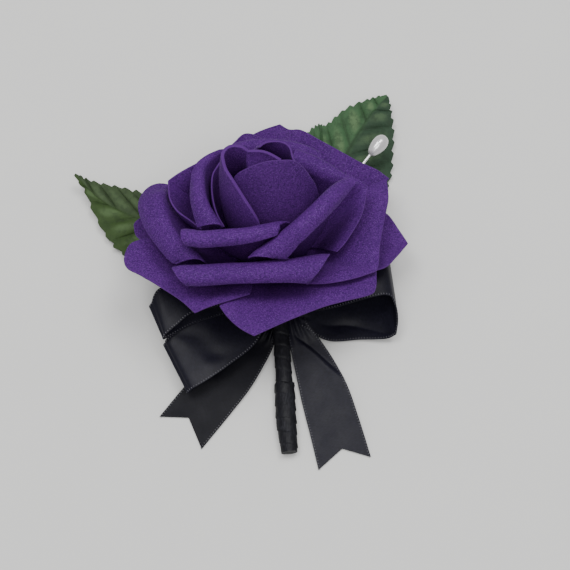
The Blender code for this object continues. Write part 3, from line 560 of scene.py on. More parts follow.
def wound_tree():
    """Tape wound round a line: each turn laps over the last, and a second winding starts part of the way.

    Unless their places are given, that winding and the table that the tape lies on are out of reach.
    """
    tree, given = new_tree("wound tape", {"Turn Length": 6 * MM, "Lap Height": 0.25 * MM,
                                          "Crease Height": 0.2 * MM, "Crease Length": 1.5 * MM,
                                          "Second Winding At": 1.0, "Second Winding Height": 0.5 * MM,
                                          "Ring Step": 0.22 * MM, "Table Height": -1.0})
    line = add(tree, "GeometryNodeMeshToCurve", given["Shape"])
    line = add(tree, "GeometryNodeResampleCurve", line, None, given["Ring Step"], mode="LENGTH")
    along = add(tree, "GeometryNodeSplineParameter").node.outputs["Length"]
    line = add(tree, "GeometryNodeStoreNamedAttribute", line, None, "along", along)
    line = add(tree, "GeometryNodeStoreNamedAttribute", line, None, "middle",
               add(tree, "GeometryNodeInputPosition"), data_type="FLOAT_VECTOR")
    radius = add(tree, "GeometryNodeInputNamedAttribute", "radius_here", data_type="FLOAT")
    ring = add(tree, "GeometryNodeCurvePrimitiveCircle", 72, 1.0)
    turn = add(tree, "GeometryNodeSplineParameter").node.outputs["Factor"]
    ring = add(tree, "GeometryNodeStoreNamedAttribute", ring, None, "turn", turn)
    tube = add(tree, "GeometryNodeCurveToMesh", line, ring, radius, True)
    along = add(tree, "GeometryNodeInputNamedAttribute", "along", data_type="FLOAT")
    turn = add(tree, "GeometryNodeInputNamedAttribute", "turn", data_type="FLOAT")
    middle = add(tree, "GeometryNodeInputNamedAttribute", "middle", data_type="FLOAT_VECTOR")
    place = add(tree, "GeometryNodeInputPosition")
    outward = add(tree, "ShaderNodeVectorMath", add(tree, "ShaderNodeVectorMath", place, middle,
                                                    operation="SUBTRACT"), operation="NORMALIZE")
    wander = add(tree, "ShaderNodeTexNoise", place, 220.0, 2.0, 0.5)
    wander = calc(tree, "MULTIPLY", calc(tree, "SUBTRACT", wander, 0.5), 0.5)
    turns = calc(tree, "DIVIDE", along, given["Turn Length"])
    laps = calc(tree, "ADD", turns, calc(tree, "ADD", turn, wander))
    lap = calc(tree, "MULTIPLY", calc(tree, "FRACT", laps), given["Lap Height"])
    stretched = add(tree, "ShaderNodeVectorMath", place, (1.0, 0.45, 1.0), operation="MULTIPLY")
    creases = calc(tree, "DIVIDE", 1.0, given["Crease Length"])
    crease = add(tree, "ShaderNodeTexNoise", stretched, creases, 4.0, 0.6)
    crease = calc(tree, "MULTIPLY", calc(tree, "SUBTRACT", crease, 0.5), given["Crease Height"])
    ragged = add(tree, "ShaderNodeTexNoise", place, 500.0, 2.0, 0.6)
    ragged = calc(tree, "MULTIPLY", calc(tree, "SUBTRACT", ragged, 0.5), 3.0 * MM)
    start = calc(tree, "SUBTRACT", calc(tree, "ADD", along, ragged), given["Second Winding At"])
    second = add(tree, "ShaderNodeMapRange", start, 0.0, 0.25 * MM, 0.0, given["Second Winding Height"])
    height = calc(tree, "ADD", calc(tree, "ADD", lap, crease), second)
    pushed = add(tree, "ShaderNodeVectorMath", outward, None, None, None, operation="SCALE")
    tree.links.new(height, pushed.node.inputs["Scale"])
    tube = add(tree, "GeometryNodeSetPosition", tube, None, None, pushed)
    parts = add(tree, "ShaderNodeSeparateXYZ", add(tree, "GeometryNodeInputPosition")).node.outputs
    lifted = calc(tree, "MAXIMUM", parts["Z"], given["Table Height"])
    tube = add(tree, "GeometryNodeSetPosition", tube, None,
               add(tree, "ShaderNodeCombineXYZ", parts["X"], parts["Y"], lifted))
    return end_tree(tree, given, tube)


WOUND = wound_tree()


def wound(name, line, radii, finish, sizes):
    places = np.linspace(0, len(line) - 1, (len(line) - 1) * STEPS_PER_POINT + 1)
    middle = through(line, (), places)
    mesh = bpy.data.meshes.new(name)
    mesh.from_pydata([tuple(p) for p in on_bench(middle)], [(i, i + 1) for i in range(len(middle) - 1)], [])
    radius = mesh.attributes.new("radius_here", "FLOAT", "POINT")
    radius.data.foreach_set("value", np.interp(places, np.linspace(0, len(line) - 1, len(radii)), radii) * MM)
    made = bpy.data.objects.new(name, mesh)
    bpy.context.scene.collection.objects.link(made)
    return run_tree(made, WOUND, finish, sizes)


def crepe_tape():
    """Black floral tape: waxed crepe paper, a little shiny on its creases, with fine lines along it."""
    made, tree, shader = new_finish("black_crepe_tape", 0.6, specular_ior_level=0.15)
    place = add(tree, "ShaderNodeTexCoord").node.outputs["Object"]
    drawn = add(tree, "ShaderNodeMapping", place, None, None, (1.0, 0.25, 1.0))
    lines = add(tree, "ShaderNodeTexNoise", drawn, 2600.0, 3.0, 0.6)
    broad = add(tree, "ShaderNodeTexNoise", place, 260.0, 3.0, 0.6)
    colour = mixed(tree, ramp(tree, lines, 0.35, 0.7), (0.004, 0.004, 0.006, 1), (0.016, 0.016, 0.021, 1))
    colour = mixed(tree, ramp(tree, broad, 0.3, 0.7), (0.005, 0.005, 0.007, 1), colour)
    tree.links.new(colour, shader.inputs["Base Color"])
    gloss = add(tree, "ShaderNodeMapRange", broad, 0.3, 0.7, 0.42, 0.68)
    tree.links.new(gloss, shader.inputs["Roughness"])
    bump = add(tree, "ShaderNodeBump", 0.6, 0.00008, None, lines)
    tree.links.new(bump, shader.inputs["Normal"])
    return made


def bound_wire():
    """Green paper bound over the wire, with darker fibres."""
    made, tree, shader = new_finish("green_bound_wire", 0.6)
    place = add(tree, "ShaderNodeTexCoord").node.outputs["Object"]
    fibres = add(tree, "ShaderNodeTexNoise", place, 1800.0, 3.0, 0.6)
    colour = mixed(tree, fibres, (0.012, 0.05, 0.014, 1), (0.04, 0.12, 0.035, 1))
    tree.links.new(colour, shader.inputs["Base Color"])
    bump = add(tree, "ShaderNodeBump", 0.4, 0.00005, None, fibres)
    tree.links.new(bump, shader.inputs["Normal"])
    return made


wire = wound("stem_wire_finished", WIRE_LINE, [WIRE_RADIUS, WIRE_RADIUS], bound_wire(),
             {"Turn Length": 1.6 * MM, "Lap Height": 0.12 * MM, "Crease Height": 0.05 * MM})
fit(wire, "stem_wire")
tape = wound("stem_tape_finished", STEM_LINE, STEM_RADII, crepe_tape(),
             {"Turn Length": 3.6 * MM, "Lap Height": 0.24 * MM, "Crease Height": 0.4 * MM,
              "Crease Length": 1.3 * MM,
              "Second Winding At": SECOND_WINDING_AT * MM, "Second Winding Height": 0.5 * MM,
              "Table Height": 0.0})
fit(tape, "stem_tape")


# The leaves: printed fabric, stiffened and pressed hot in a mould that gives them their veins, then
# stamped out with toothed edges. Each narrows to a stalk that the stem's tape is wound over.
LEAF_SHEET = 0.4 * MM
LEAF_ROUNDING = 0.12 * MM
LEAF_ROWS = 260
LEAF_COLUMNS = 61
STALK_SHARE = 0.16
LEAF_VEINS = 12
VEIN_SLANT = 0.17
VEIN_DEPTH = 0.2
PUFF_HEIGHT = 0.9
TOOTH_DEPTH = 0.9
TOOTH_RISE = 0.8
TOOTH_FALL = 0.2
FIRST_LEAF_SEED = 40.0


def printed_leaf(name, one_half, other_half, contrast):
    """Printed fabric dark in the veins; painted light gives each half its own green and the puffs a
    highlight.
    """
    made, tree, shader = new_finish(name, 0.66, specular_ior_level=0.25, sheen_weight=0.05)
    place = add(tree, "ShaderNodeTexCoord").node.outputs["Object"]
    vein = add(tree, "ShaderNodeAttribute", attribute_name="vein").node.outputs["Fac"]
    crest = add(tree, "ShaderNodeAttribute", attribute_name="crest").node.outputs["Fac"]
    half = add(tree, "ShaderNodeAttribute", attribute_name="other_half").node.outputs["Fac"]
    mottled = add(tree, "ShaderNodeTexNoise", place, 420.0, 4.0, 0.7)
    broad = add(tree, "ShaderNodeTexNoise", place, 110.0, 2.0, 0.5)
    # Painted light and shade: the two halves' greens stand for the light falling differently on each half's
    # slope, and the second half gets less of the painted highlight and of the vein marks
    green = mixed(tree, half, one_half, other_half)
    painted_highlight = mixed(tree, 0.5, green, (0.1, 0.16, 0.07, 1))
    deep = mixed(tree, 0.75, green, (0.004, 0.012, 0.003, 1))
    plain = calc(tree, "SUBTRACT", contrast, calc(tree, "MULTIPLY", half, 0.45 * contrast))
    # Painted highlight on the crests of the puffs, where they catch the light
    shade = calc(tree, "MULTIPLY", crest, calc(tree, "ADD", broad, calc(tree, "MULTIPLY", mottled, 0.6)))
    green = mixed(tree, calc(tree, "MULTIPLY", ramp(tree, shade, 0.35, 0.9), plain), green, painted_highlight)
    green = mixed(tree, ramp(tree, mottled, 0.56, 0.36), green, mixed(tree, 0.45, green, deep))
    green = mixed(tree, calc(tree, "MULTIPLY", vein, plain), green, deep)
    tree.links.new(green, shader.inputs["Base Color"])
    weave = add(tree, "ShaderNodeTexWave", place, 900.0, 0.4, 1.0, wave_type="BANDS", bands_direction="X")
    other = add(tree, "ShaderNodeTexWave", place, 900.0, 0.4, 1.0, wave_type="BANDS", bands_direction="Y")
    height = calc(tree, "ADD", calc(tree, "ADD", weave, other), calc(tree, "MULTIPLY", mottled, 3.0))
    bump = add(tree, "ShaderNodeBump", 0.5, 0.00007, None, height)
    tree.links.new(bump, shader.inputs["Normal"])
    return made


def leaf(node, finish, midrib, left_edge, right_edge, teeth, seed):
    """A toothed blade between two edges that match its midrib point for point, puffed up between its veins.

    teeth is how many the left and the right edge have.
    """
    draw = np.random.default_rng(seed)
    last = len(midrib) - 1
    t = np.linspace(0, 1, LEAF_ROWS)
    v = np.linspace(-1, 1, LEAF_COLUMNS)
    wander = np.interp(t, np.linspace(0, 1, 9), draw.uniform(-0.25, 0.25, 9))
    unequal = np.interp(t, np.linspace(0, 1, 30), draw.uniform(0.5, 1.3, 30))
    root = np.clip(t - VEIN_SLANT * np.sin(math.pi * t), 0, 1)
    rib = through(midrib, (), root * last)
    grown = np.clip((t - STALK_SHARE) / 0.12, 0, 1) * np.clip((0.985 - t) / 0.05, 0, 1)
    grid = np.zeros((len(t), len(v), 3))
    marks = np.zeros((len(t), len(v), 3))
    for c, across in enumerate(v):
        which = 0 if across < 0 else 1
        edge = through((left_edge, right_edge)[which], (), t * last)
        way = unit(np.cross(unit(np.gradient(edge, axis=0)), [0.0, 0.0, 1.0 if which else -1.0]))
        notch = (teeth[which] * t + wander * 1.7) % 1.0
        saw = np.where(notch < TOOTH_RISE, notch / TOOTH_RISE, (1 - notch) / TOOTH_FALL)
        edge = edge + way * (grown * TOOTH_DEPTH * unequal * (saw - 0.5))[:, None]
        share = abs(across)
        point = rib * (1 - share) + edge * share
        between = (LEAF_VEINS * t + wander + 0.35 * which) % 1.0
        furrow = np.exp(-((np.minimum(between, 1 - between) / 0.08) ** 2))
        puffed = np.sin(math.pi * between) ** 0.7
        body = grown * (np.sin(math.pi * min(share * 1.05, 1.0)) ** 0.5 if share > 0 else 0.0)
        point[:, 2] += PUFF_HEIGHT * unequal * body * (puffed - 0.6) - VEIN_DEPTH * body * furrow
        grid[:, c] = point
        midrib_mark = math.exp(-((share / 0.06) ** 2)) * np.clip(4 - 4 * t, 0, 1)
        vein_mark = 0.8 * furrow * grown * (1 - share) ** 0.3
        marks[:, c, 0] = np.maximum(vein_mark, midrib_mark)
        marks[:, c, 1] = puffed**2 * body
        marks[:, c, 2] = min(max(across * 8, 0.0), 1.0)
    fine = fine_edges(np.concatenate([grid, marks], axis=2))
    blank = sheet_blank(f"{node}_finished", fine[..., :3])
    for place, name in enumerate(("vein", "crest", "other_half")):
        kept = blank.data.attributes.new(name, "FLOAT", "POINT")
        kept.data.foreach_set("value", fine[..., 3 + place].ravel())
    run_tree(blank, CUT_SHEET, finish, {"Thickness": LEAF_SHEET, "Edge Rounding": LEAF_ROUNDING,
                                        "Edge Share": 1.0, "Wave Height": 0.8 * MM, "Wave Length": 9 * MM,
                                        "Seed": FIRST_LEAF_SEED + seed})
    fit(blank, node)


leaf("leaf_right", printed_leaf("leaf_print_right", (0.028, 0.075, 0.029, 1), (0.015, 0.037, 0.018, 1), 1.0),
     [(-1.7, 4.2, 3.0), (1.5, 10.5, 1.8), (4.5, 17.0, 1.0), (8.5, 25.0, 0.6), (12.5, 32.0, 0.6),
      (17.0, 39.0, 0.9), (21.2, 46.5, 1.6), (25.2, 53.0, 2.5), (28.6, 57.2, 3.6), (31.3, 59.8, 4.6)],
     [(-2.2, 4.5, 3.0), (0.9, 10.9, 1.8), (0.4, 22.8, 1.5), (1.6, 36.3, 1.7), (6.2, 47.6, 1.8),
      (9.9, 51.3, 1.9), (12.6, 51.2, 2.1), (18.4, 56.2, 2.8), (25.4, 59.1, 3.6), (31.0, 60.2, 4.6)],
     [(-1.2, 3.9, 3.0), (2.1, 10.1, 1.8), (9.8, 13.9, 1.3), (20.0, 19.4, 1.3), (27.6, 25.7, 1.3),
      (31.6, 33.2, 1.5), (32.6, 41.0, 2.1), (33.0, 48.6, 2.8), (32.4, 54.7, 3.7), (31.7, 59.4, 4.6)],
     teeth=(26, 19), seed=3)
leaf("leaf_left", printed_leaf("leaf_print_left", (0.0215, 0.046, 0.008, 1), (0.026, 0.046, 0.0155, 1), 0.6),
     [(-5.5, -2.4, 3.4), (-12.0, -0.5, 2.7), (-18.5, 4.0, 2.2), (-24.5, 9.0, 2.0), (-30.5, 13.7, 2.0),
      (-36.5, 17.6, 2.2), (-42.0, 19.6, 2.2), (-48.5, 22.2, 2.3), (-54.3, 25.5, 2.8), (-59.0, 29.3, 4.0),
      (-62.7, 32.9, 6.0)],
     [(-5.4, -2.9, 3.4), (-11.8, -1.2, 2.7), (-19.0, 0.0, 2.2), (-27.0, 1.5, 2.0), (-35.0, 2.2, 2.0),
      (-42.6, 5.2, 2.0), (-48.5, 9.6, 2.0), (-53.0, 14.6, 2.2), (-56.8, 21.6, 2.7), (-59.8, 28.4, 4.2),
      (-62.9, 32.6, 6.0)],
     [(-5.6, -1.9, 3.4), (-12.2, 0.2, 2.7), (-19.5, 9.5, 2.2), (-24.5, 17.5, 2.0), (-30.5, 23.5, 2.0),
      (-37.4, 27.0, 2.0), (-43.2, 28.8, 2.0), (-49.5, 30.3, 2.4), (-55.1, 31.3, 3.0), (-59.5, 32.2, 4.3),
      (-62.5, 33.2, 6.0)],
     teeth=(17, 19), seed=5)


# The bow: one black satin ribbon, 16 mm wide with stitched selvedges, laid in three loops and two tails and
# gathered at the knot. The tails are cut to a notch. A tree of nodes sets the stitches along the selvedges.
RIBBON_WIDTH = 0.016
RIBBON_SHEET = 0.28 * MM
RIBBON_ROUNDING = 0.1 * MM
RIBBON_COLUMNS = 33
ROWS_PER_POINT = 20
GATHERED_BELOW = 9.0
GATHERED_OVER = 6.0
PLEATS = 3.5
PLEAT_START = 0.6
PLEAT_HEIGHT = 0.5
NOTCH_FROM = 0.6
SELVEDGE_INSET = 0.42
FIRST_RIBBON_SEED = 60.0


def black_satin(name, ground, floats, gleam):
    """Satin: floats of shiny yarn along the ribbon, over a near-black ground."""
    made, tree, shader = new_finish(name, 0.42, specular_ior_level=gleam, sheen_weight=0.02,
                                    sheen_roughness=0.35, anisotropic=0.4)
    chart = add(tree, "ShaderNodeUVMap", uv_map="UVMap")
    drawn = add(tree, "ShaderNodeMapping", chart, None, None, (1.0, 6.0, 1.0))
    yarn = add(tree, "ShaderNodeTexNoise", drawn, 900.0, 3.0, 0.6)
    broad = add(tree, "ShaderNodeTexNoise", chart, 150.0, 2.0, 0.5)
    colour = mixed(tree, ramp(tree, yarn, 0.3, 0.7), ground, floats)
    tree.links.new(colour, shader.inputs["Base Color"])
    gloss = add(tree, "ShaderNodeMapRange", broad, 0.3, 0.7, 0.38, 0.5)
    tree.links.new(gloss, shader.inputs["Roughness"])
    bump = add(tree, "ShaderNodeBump", 0.25, 0.00003, None, yarn)
    tree.links.new(bump, shader.inputs["Normal"])
    return made


def selvedge_yarn():
    made, tree, shader = new_finish("selvedge_yarn", 0.5, sheen_weight=0.3)
    place = add(tree, "ShaderNodeTexCoord").node.outputs["Object"]
    twist = add(tree, "ShaderNodeTexNoise", place, 3000.0, 2.0, 0.5)
    colour = mixed(tree, twist, (0.03, 0.03, 0.036, 1), (0.1, 0.098, 0.115, 1))
    tree.links.new(colour, shader.inputs["Base Color"])
    bump = add(tree, "ShaderNodeBump", 0.3, 0.00004, None, twist)
    tree.links.new(bump, shader.inputs["Normal"])
    return made


def stitching_tree():
    """A row of short stitches square to a line, lying flat against the cloth under it."""
    tree, given = new_tree("selvedge stitches", {"Stitch Spacing": 0.8 * MM, "Stitch Length": 0.5 * MM,
                                                 "Stitch Width": 0.26 * MM, "Stitch Height": 0.24 * MM})
    line = add(tree, "GeometryNodeMeshToCurve", given["Shape"])
    line = add(tree, "GeometryNodeResampleCurve", line, None, given["Stitch Spacing"], mode="LENGTH")
    cloth = add(tree, "GeometryNodeInputNamedAttribute", "cloth_faces", data_type="FLOAT_VECTOR")
    way = add(tree, "GeometryNodeInputTangent")
    stood = add(tree, "FunctionNodeAlignRotationToVector", None, 1.0, cloth, axis="Z")
    turned_to = add(tree, "FunctionNodeAlignRotationToVector", stood, 1.0, way, axis="X", pivot_axis="Z")
    stitch = add(tree, "GeometryNodeMeshIcoSphere", 0.5, 1)
    size = add(tree, "ShaderNodeCombineXYZ", given["Stitch Width"], given["Stitch Length"],
               given["Stitch Height"])
    row = add(tree, "GeometryNodeInstanceOnPoints", line, None, stitch, None, None, turned_to, size)
    return end_tree(tree, given, row)


SATIN = black_satin("black_satin", (0.0035, 0.0035, 0.0065, 1), (0.0095, 0.009, 0.0165, 1), 0.12)
# A darker copy of the satin for the left tail: painted shade, where its floats catch less of the light
SHADED_SATIN = black_satin("black_satin_painted_shade", (0.0016, 0.0016, 0.003, 1), (0.0048, 0.0046, 0.0085, 1),
                           0.08)
YARN = selvedge_yarn()
STITCHES = stitching_tree()


def stitched_selvedges(node, grid):
    """Both selvedges' stitches, on both faces of the ribbon."""
    points, edges, faces_up = [], [], []
    across = np.gradient(grid, axis=1)
    along = np.gradient(grid, axis=0)
    normals = unit(np.cross(across, along))
    for column, inward in ((0, 1), (-1, -1)):
        line = grid[:, column] + inward * unit(across[:, column]) * SELVEDGE_INSET
        for face in (1, -1):
            start = len(points)
            points += list(line + face * normals[:, column] * (RIBBON_SHEET / MM * 0.5))
            faces_up += list(face * normals[:, column])
            edges += [(i, i + 1) for i in range(start, len(points) - 1)]
    mesh = bpy.data.meshes.new(f"{node}_selvedges")
    mesh.from_pydata([tuple(p) for p in on_bench(points)], edges, [])
    kept = mesh.attributes.new("cloth_faces", "FLOAT_VECTOR", "POINT")
    kept.data.foreach_set("vector", np.array(faces_up).ravel())
    made = bpy.data.objects.new(f"{node}_selvedges", mesh)
    bpy.context.scene.collection.objects.link(made)
    run_tree(made, STITCHES, YARN, {})
    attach(made, "root")
    return made


def ribbon(node, edge_a, edge_b, length, satin=SATIN, corners=(), notch=None, pressed_in=None):
    """A ribbon between two edge lines of matching points, gathered in pleats where they come together.

    length is the flat ribbon's length, in metres, which here only seeds its slow waves: on the upper left
    and the right loop less than the line they follow, because their modelled pleats hold less cloth than real
    ones. notch is the point its last end is cut back to. pressed_in gives how deep the cloth is pressed, in
    millimetres, at a share of the way along it and across it.
    """
    last = len(edge_a) - 1
    places = np.linspace(0, last, last * ROWS_PER_POINT + 1)
    a, b = through(edge_a, corners, places), through(edge_b, corners, places)
    u = np.linspace(0, 1, RIBBON_COLUMNS)[None, :, None]
    grid = a[:, None, :] * (1 - u) + b[:, None, :] * u
    normals = unit(np.cross(np.gradient(grid, axis=1), np.gradient(grid, axis=0)))
    wide = np.linalg.norm(b - a, axis=1)
    tight = np.clip((GATHERED_BELOW - wide) / GATHERED_OVER, 0, 1)[:, None, None]
    grid = grid + normals * np.sin(2 * math.pi * PLEATS * u + PLEAT_START) * tight * PLEAT_HEIGHT
    if pressed_in is not None:
        grid = grid + normals * pressed_in(places[:, None] / last, u[..., 0])[..., None]
    if notch is not None:
        back = np.asarray(notch) - (edge_a[-1] + np.asarray(edge_b[-1])) / 2
        late = np.clip((places / last - NOTCH_FROM) / (1 - NOTCH_FROM), 0, 1)[:, None, None]
        grid = grid + back * (1 - np.abs(2 * u - 1)) * late
    blank = sheet_blank(f"{node}_finished", fine_edges(grid))
    run_tree(blank, CUT_SHEET, satin, {"Thickness": RIBBON_SHEET, "Edge Rounding": RIBBON_ROUNDING,
                                       "Edge Share": 1.0, "Wave Height": 0.5 * MM, "Wave Length": 16 * MM,
                                       "Seed": FIRST_RIBBON_SEED + length})
    rows = stitched_selvedges(node, grid)
    fit(blank, node)


def right_tail_crease(t, u):
    """A crease that crosses the tail from its middle to its right edge, the cloth tucked in beyond it."""
    tuck, ridge, tail_width = 1.3, 0.45, 12.0
    reach = (u - 0.45 - (t - 0.36) * 2.1) * tail_width
    fade = np.clip((t - 0.24) / 0.14, 0, 1) * np.clip((0.68 - t) / 0.14, 0, 1)
    tucked = tuck / (1 + np.exp(-reach / 0.3)) * np.exp(-np.maximum(reach, 0) / 4.5)
    return fade * (tucked - ridge * np.exp(-np.abs(reach) / 3.5))


ribbon("bow_tail_left",
       [(-4.7, -11.5, 3.8), (-8.0, -13.6, 2.6), (-11.0, -16.0, 1.9), (-17.3, -20.8, 2.1), (-24.4, -27.1, 2.0),
        (-28.9, -31.7, 1.7), (-35.7, -40.0, 0.5)],
       [(-2.8, -14.5, 2.6), (-3.0, -17.0, 2.0), (-3.5, -19.8, 1.4), (-5.5, -24.0, 1.2), (-9.6, -31.3, 1.0),
        (-14.6, -38.1, 0.8), (-23.5, -49.4, 0.5)],
       # the left tail's darker satin is painted shade
       0.041, SHADED_SATIN, notch=(-27.4, -40.3, 0.5))
ribbon("bow_tail_right",
       [(0.3, -11.0, 4.2), (0.7, -15.0, 3.6), (1.4, -19.4, 2.6), (2.4, -24.2, 1.6), (4.8, -35.9, 0.9),
        (7.1, -45.4, 0.8), (9.4, -55.4, 0.5)],
       [(4.4, -9.0, 5.2), (6.2, -12.6, 4.6), (9.1, -16.4, 3.4), (13.8, -23.4, 2.6), (17.8, -31.3, 2.2),
        (21.1, -41.2, 1.5), (24.2, -51.7, 0.5)],
       0.046, notch=(16.1, -49.3, 0.5), pressed_in=right_tail_crease)
ribbon("bow_loop_left_upper",
       [(-5.2, -9.6, 10.8), (-15.0, -10.5, 13.0), (-25.5, -13.0, 13.4), (-30.4, -16.6, 12.9),
        (-33.4, -19.2, 12.4), (-33.9, -19.9, 11.5), (-33.6, -19.9, 10.4), (-26.0, -15.0, 8.9),
        (-15.0, -11.5, 8.9), (-5.2, -9.6, 9.2)],
       [(-5.2, -7.0, 10.8), (-13.0, -4.0, 12.0), (-24.0, -0.5, 13.0), (-34.4, -5.2, 13.4),
        (-36.8, -7.0, 13.1), (-37.7, -9.3, 12.2), (-37.5, -10.0, 11.0), (-25.0, -1.0, 9.6),
        (-13.5, -4.0, 9.0), (-5.2, -7.0, 9.2)],
       0.061)


def soft_fold(t, u):
    """A soft fold that runs slantwise over the loop's upper layer."""
    depth, width, loop_run = 0.45, 2.6, 64.0
    reach = (t - 0.36 + 0.2 * u + 0.03 * np.sin(2 * math.pi * u)) * loop_run
    return depth * np.exp(-((reach / width) ** 2)) * np.clip(u / 0.15, 0, 1) * np.clip((0.9 - u) / 0.2, 0, 1)


ribbon("bow_loop_left_lower",
       [(-5.2, -10.4, 7.4), (-14.0, -10.5, 7.5), (-24.5, -12.4, 8.3), (-30.4, -16.5, 8.6),
        (-33.4, -19.0, 8.3), (-34.1, -19.9, 7.3), (-33.8, -20.1, 6.1), (-24.5, -13.6, 2.6),
        (-14.0, -12.2, 3.2), (-5.2, -11.2, 5.6)],
       [(-5.0, -12.6, 7.4), (-8.3, -20.2, 7.0), (-15.6, -26.7, 7.5), (-21.6, -31.2, 8.0),
        (-25.6, -33.6, 7.7), (-26.7, -34.2, 6.8), (-26.5, -33.9, 5.7), (-16.4, -24.6, 2.6),
        (-9.4, -18.6, 3.2), (-5.0, -12.6, 5.2)],
       0.062, pressed_in=soft_fold)


def turned_up_hem(t, u):
    """The loop's lower layer stands up in a ridge that runs from its corner in towards the knot."""
    highest, width = 1.1, 2.2
    ridge = np.clip((t - 0.63) / 0.22, 0, 1) * 0.34 + 0.02
    height = highest * np.clip((t - 0.6) / 0.1, 0, 1) * np.clip((0.95 - t) / 0.1, 0, 1)
    return -height * np.exp(-np.abs(u - ridge) * (RIBBON_WIDTH / MM) / width)


ribbon("bow_loop_right",
       [(1.6, -11.4, 9.0), (12.0, -11.5, 11.4), (24.0, -8.2, 12.0), (29.6, -7.3, 11.2), (31.6, -9.8, 9.2),
        (32.3, -13.2, 7.0), (31.9, -16.8, 4.6), (28.6, -17.4, 2.6), (22.0, -17.2, 1.2), (12.6, -17.6, 1.2),
        (5.0, -14.4, 4.4)],
       [(1.6, -8.4, 9.0), (11.0, -3.0, 10.8), (22.0, 2.5, 10.9), (27.8, 5.5, 10.4), (29.8, 4.8, 8.8),
        (30.5, 2.4, 6.8), (30.0, -0.8, 4.8), (26.8, -2.4, 2.8), (21.0, -3.0, 1.2), (13.6, -4.6, 1.4),
        (3.6, -8.6, 6.2)],
       0.067, corners=(6,), pressed_in=turned_up_hem)
KNOT_OUTLINE = [(0, -2.6), (2.0, -2.6), (2.5, -1.8), (2.8, 0), (2.5, 1.8), (2.0, 2.6), (0, 2.6)]
knot_place = Matrix.Translation(KNOT_MIDDLE) @ Matrix.Rotation(math.pi / 2, 4, "Y")
knot = turned("bow_knot_finished", KNOT_OUTLINE, knot_place, sides=64, steps=8)
knot.data.materials.append(SATIN)
fit(knot, "bow_knot")


# The pin: a steel shaft with a teardrop head under pearl paint. It is pushed into the foam from behind the
# rose, so that the head stands clear of the petals.
def pearl_coat():
    """Pearl paint: milky and a little metallic, with a soft rosy and greenish drift under a clear coat."""
    made, tree, shader = new_finish("pearl_coat", 0.24, metallic=0.45, coat_weight=0.8, coat_roughness=0.06)
    place = add(tree, "ShaderNodeTexCoord").node.outputs["Object"]
    drift = add(tree, "ShaderNodeTexNoise", place, 160.0, 2.0, 0.5)
    tint = mixed(tree, drift, (0.57, 0.535, 0.535, 1), (0.515, 0.56, 0.535, 1))
    # Painted reflection and shade: greyer where the coat faces the eye, tinted between, and darkening to a
    # dark rim where the surface turns away from the eye
    facing = add(tree, "ShaderNodeLayerWeight", 0.35).node.outputs["Facing"]
    colour = mixed(tree, ramp(tree, facing, 0.25, 0.7), (0.5, 0.49, 0.5, 1), tint)
    colour = mixed(tree, ramp(tree, facing, 0.8, 1.0), colour, (0.2, 0.2, 0.2, 1))
    tree.links.new(colour, shader.inputs["Base Color"])
    return made


def drawn_steel():
    made, tree, shader = new_finish("drawn_steel", 0.25, metallic=1.0)
    place = add(tree, "ShaderNodeTexCoord").node.outputs["Object"]
    scratches = add(tree, "ShaderNodeTexNoise", place, 2500.0, 2.0, 0.5)
    colour = mixed(tree, scratches, (0.55, 0.55, 0.56, 1), (0.8, 0.8, 0.8, 1))
    tree.links.new(colour, shader.inputs["Base Color"])
    return made


PIN_TIP = Vector((10.0, 17.8, 4.9))
PIN_NECK = Vector((25.1, 37.2, 10.3))
PIN_CROWN = Vector((30.6, 43.8, 11.0))
PIN_GAP = 0.3
PEARL_OUTLINE = [(0, 0), (0.55, 0.1), (1.25, 0.7), (1.8, 1.9), (2.15, 3.2), (2.3, 4.5), (2.1, 5.9),
                 (1.35, 7.1), (0, 7.6)]
aim = (PIN_CROWN - PIN_NECK).to_track_quat("Z", "Y").to_matrix().to_4x4()
head = turned("pin_head_finished", PEARL_OUTLINE, Matrix.Translation(PIN_NECK) @ aim, sides=64, steps=8)
head.data.materials.append(pearl_coat())
fit(head, "pin_head")
shaft_way = (PIN_NECK - PIN_TIP).to_track_quat("Z", "Y").to_matrix().to_4x4()
shaft_length = (PIN_NECK - PIN_TIP).length - PIN_GAP
SHAFT_OUTLINE = [(0, 0), (0.08, 0.2), (0.25, 1.2), (0.38, 4.0), (0.4, 8.0), (0.4, shaft_length - 0.1),
                 (0, shaft_length)]
shaft_place = Matrix.Translation(PIN_TIP) @ shaft_way
shaft = turned("pin_shaft_finished", SHAFT_OUTLINE, shaft_place, sides=20, steps=3)
shaft.data.materials.append(drawn_steel())
fit(shaft, "pin_shaft")


# The bench: a plain pale surface under three soft lights overhead, and the camera that looks down on it as
# the photograph does.
BENCH_REACH = 2.0
BENCH_TOP = -0.00005


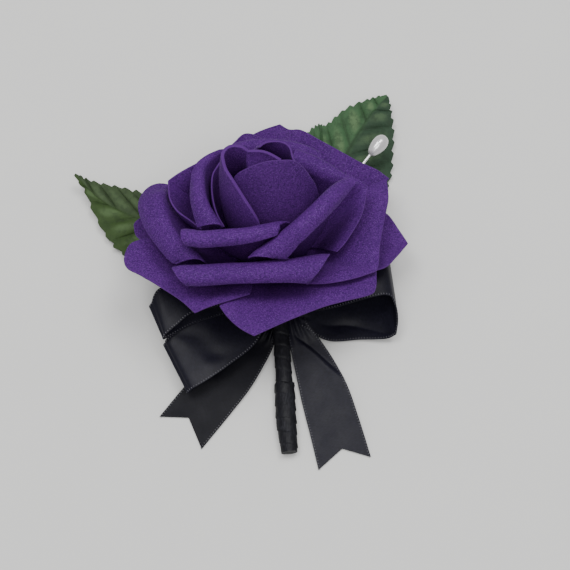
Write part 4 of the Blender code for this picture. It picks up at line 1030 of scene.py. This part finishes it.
def pale_surface():
    made, tree, shader = new_finish("pale_surface", 0.9)
    place = add(tree, "ShaderNodeTexCoord").node.outputs["Object"]
    grain = add(tree, "ShaderNodeTexNoise", place, 40.0, 3.0, 0.5)
    colour = mixed(tree, grain, (0.555, 0.555, 0.545, 1), (0.575, 0.575, 0.565, 1))
    tree.links.new(colour, shader.inputs["Base Color"])
    return made


bench_corners = [(-BENCH_REACH, -BENCH_REACH, BENCH_TOP), (BENCH_REACH, -BENCH_REACH, BENCH_TOP),
                 (BENCH_REACH, BENCH_REACH, BENCH_TOP), (-BENCH_REACH, BENCH_REACH, BENCH_TOP)]
bench = new_piece("bench", bench_corners, [(0, 1, 2, 3)])
bench.data.materials.append(pale_surface())

VIEWED = BENCH.translation * Vector((1, 1, 0))
VIEW_DISTANCE = 0.42
VIEW_ELEVATION = math.radians(70)
SENSOR_WIDTH = 36.0
PICTURE_WIDTH = 570.0
PIXELS_PER_METRE = 3400.0
camera = bpy.data.objects.new("camera", bpy.data.cameras.new("camera"))
camera.data.sensor_width = SENSOR_WIDTH
camera.data.lens = SENSOR_WIDTH / (PICTURE_WIDTH / PIXELS_PER_METRE / VIEW_DISTANCE)
camera.location = VIEWED + Vector((0, -math.cos(VIEW_ELEVATION), math.sin(VIEW_ELEVATION))) * VIEW_DISTANCE
camera.rotation_euler = (math.pi / 2 - VIEW_ELEVATION, 0, 0)
bpy.context.scene.collection.objects.link(camera)
bpy.context.scene.camera = camera


def soft_light(name, place, width, power):
    lamp = bpy.data.lights.new(name, "AREA")
    lamp.size = width
    lamp.energy = power
    made = bpy.data.objects.new(name, lamp)
    made.location = place
    made.rotation_euler = (VIEWED - Vector(place)).to_track_quat("-Z", "Y").to_euler()
    bpy.context.scene.collection.objects.link(made)


soft_light("left_softbox", (-0.25, 0.12, 1.0), 0.4, 5.6)
soft_light("right_softbox", (0.26, 0.27, 1.0), 0.4, 5.6)
soft_light("front_softbox", (0.1, -0.38, 0.98), 0.4, 4.1)
surround = bpy.data.worlds.new("surround")
surround.use_nodes = True
surround.node_tree.nodes["Background"].inputs["Color"].default_value = (1.0, 1.0, 1.0, 1.0)
surround.node_tree.nodes["Background"].inputs["Strength"].default_value = 0.62
bpy.context.scene.world = surround
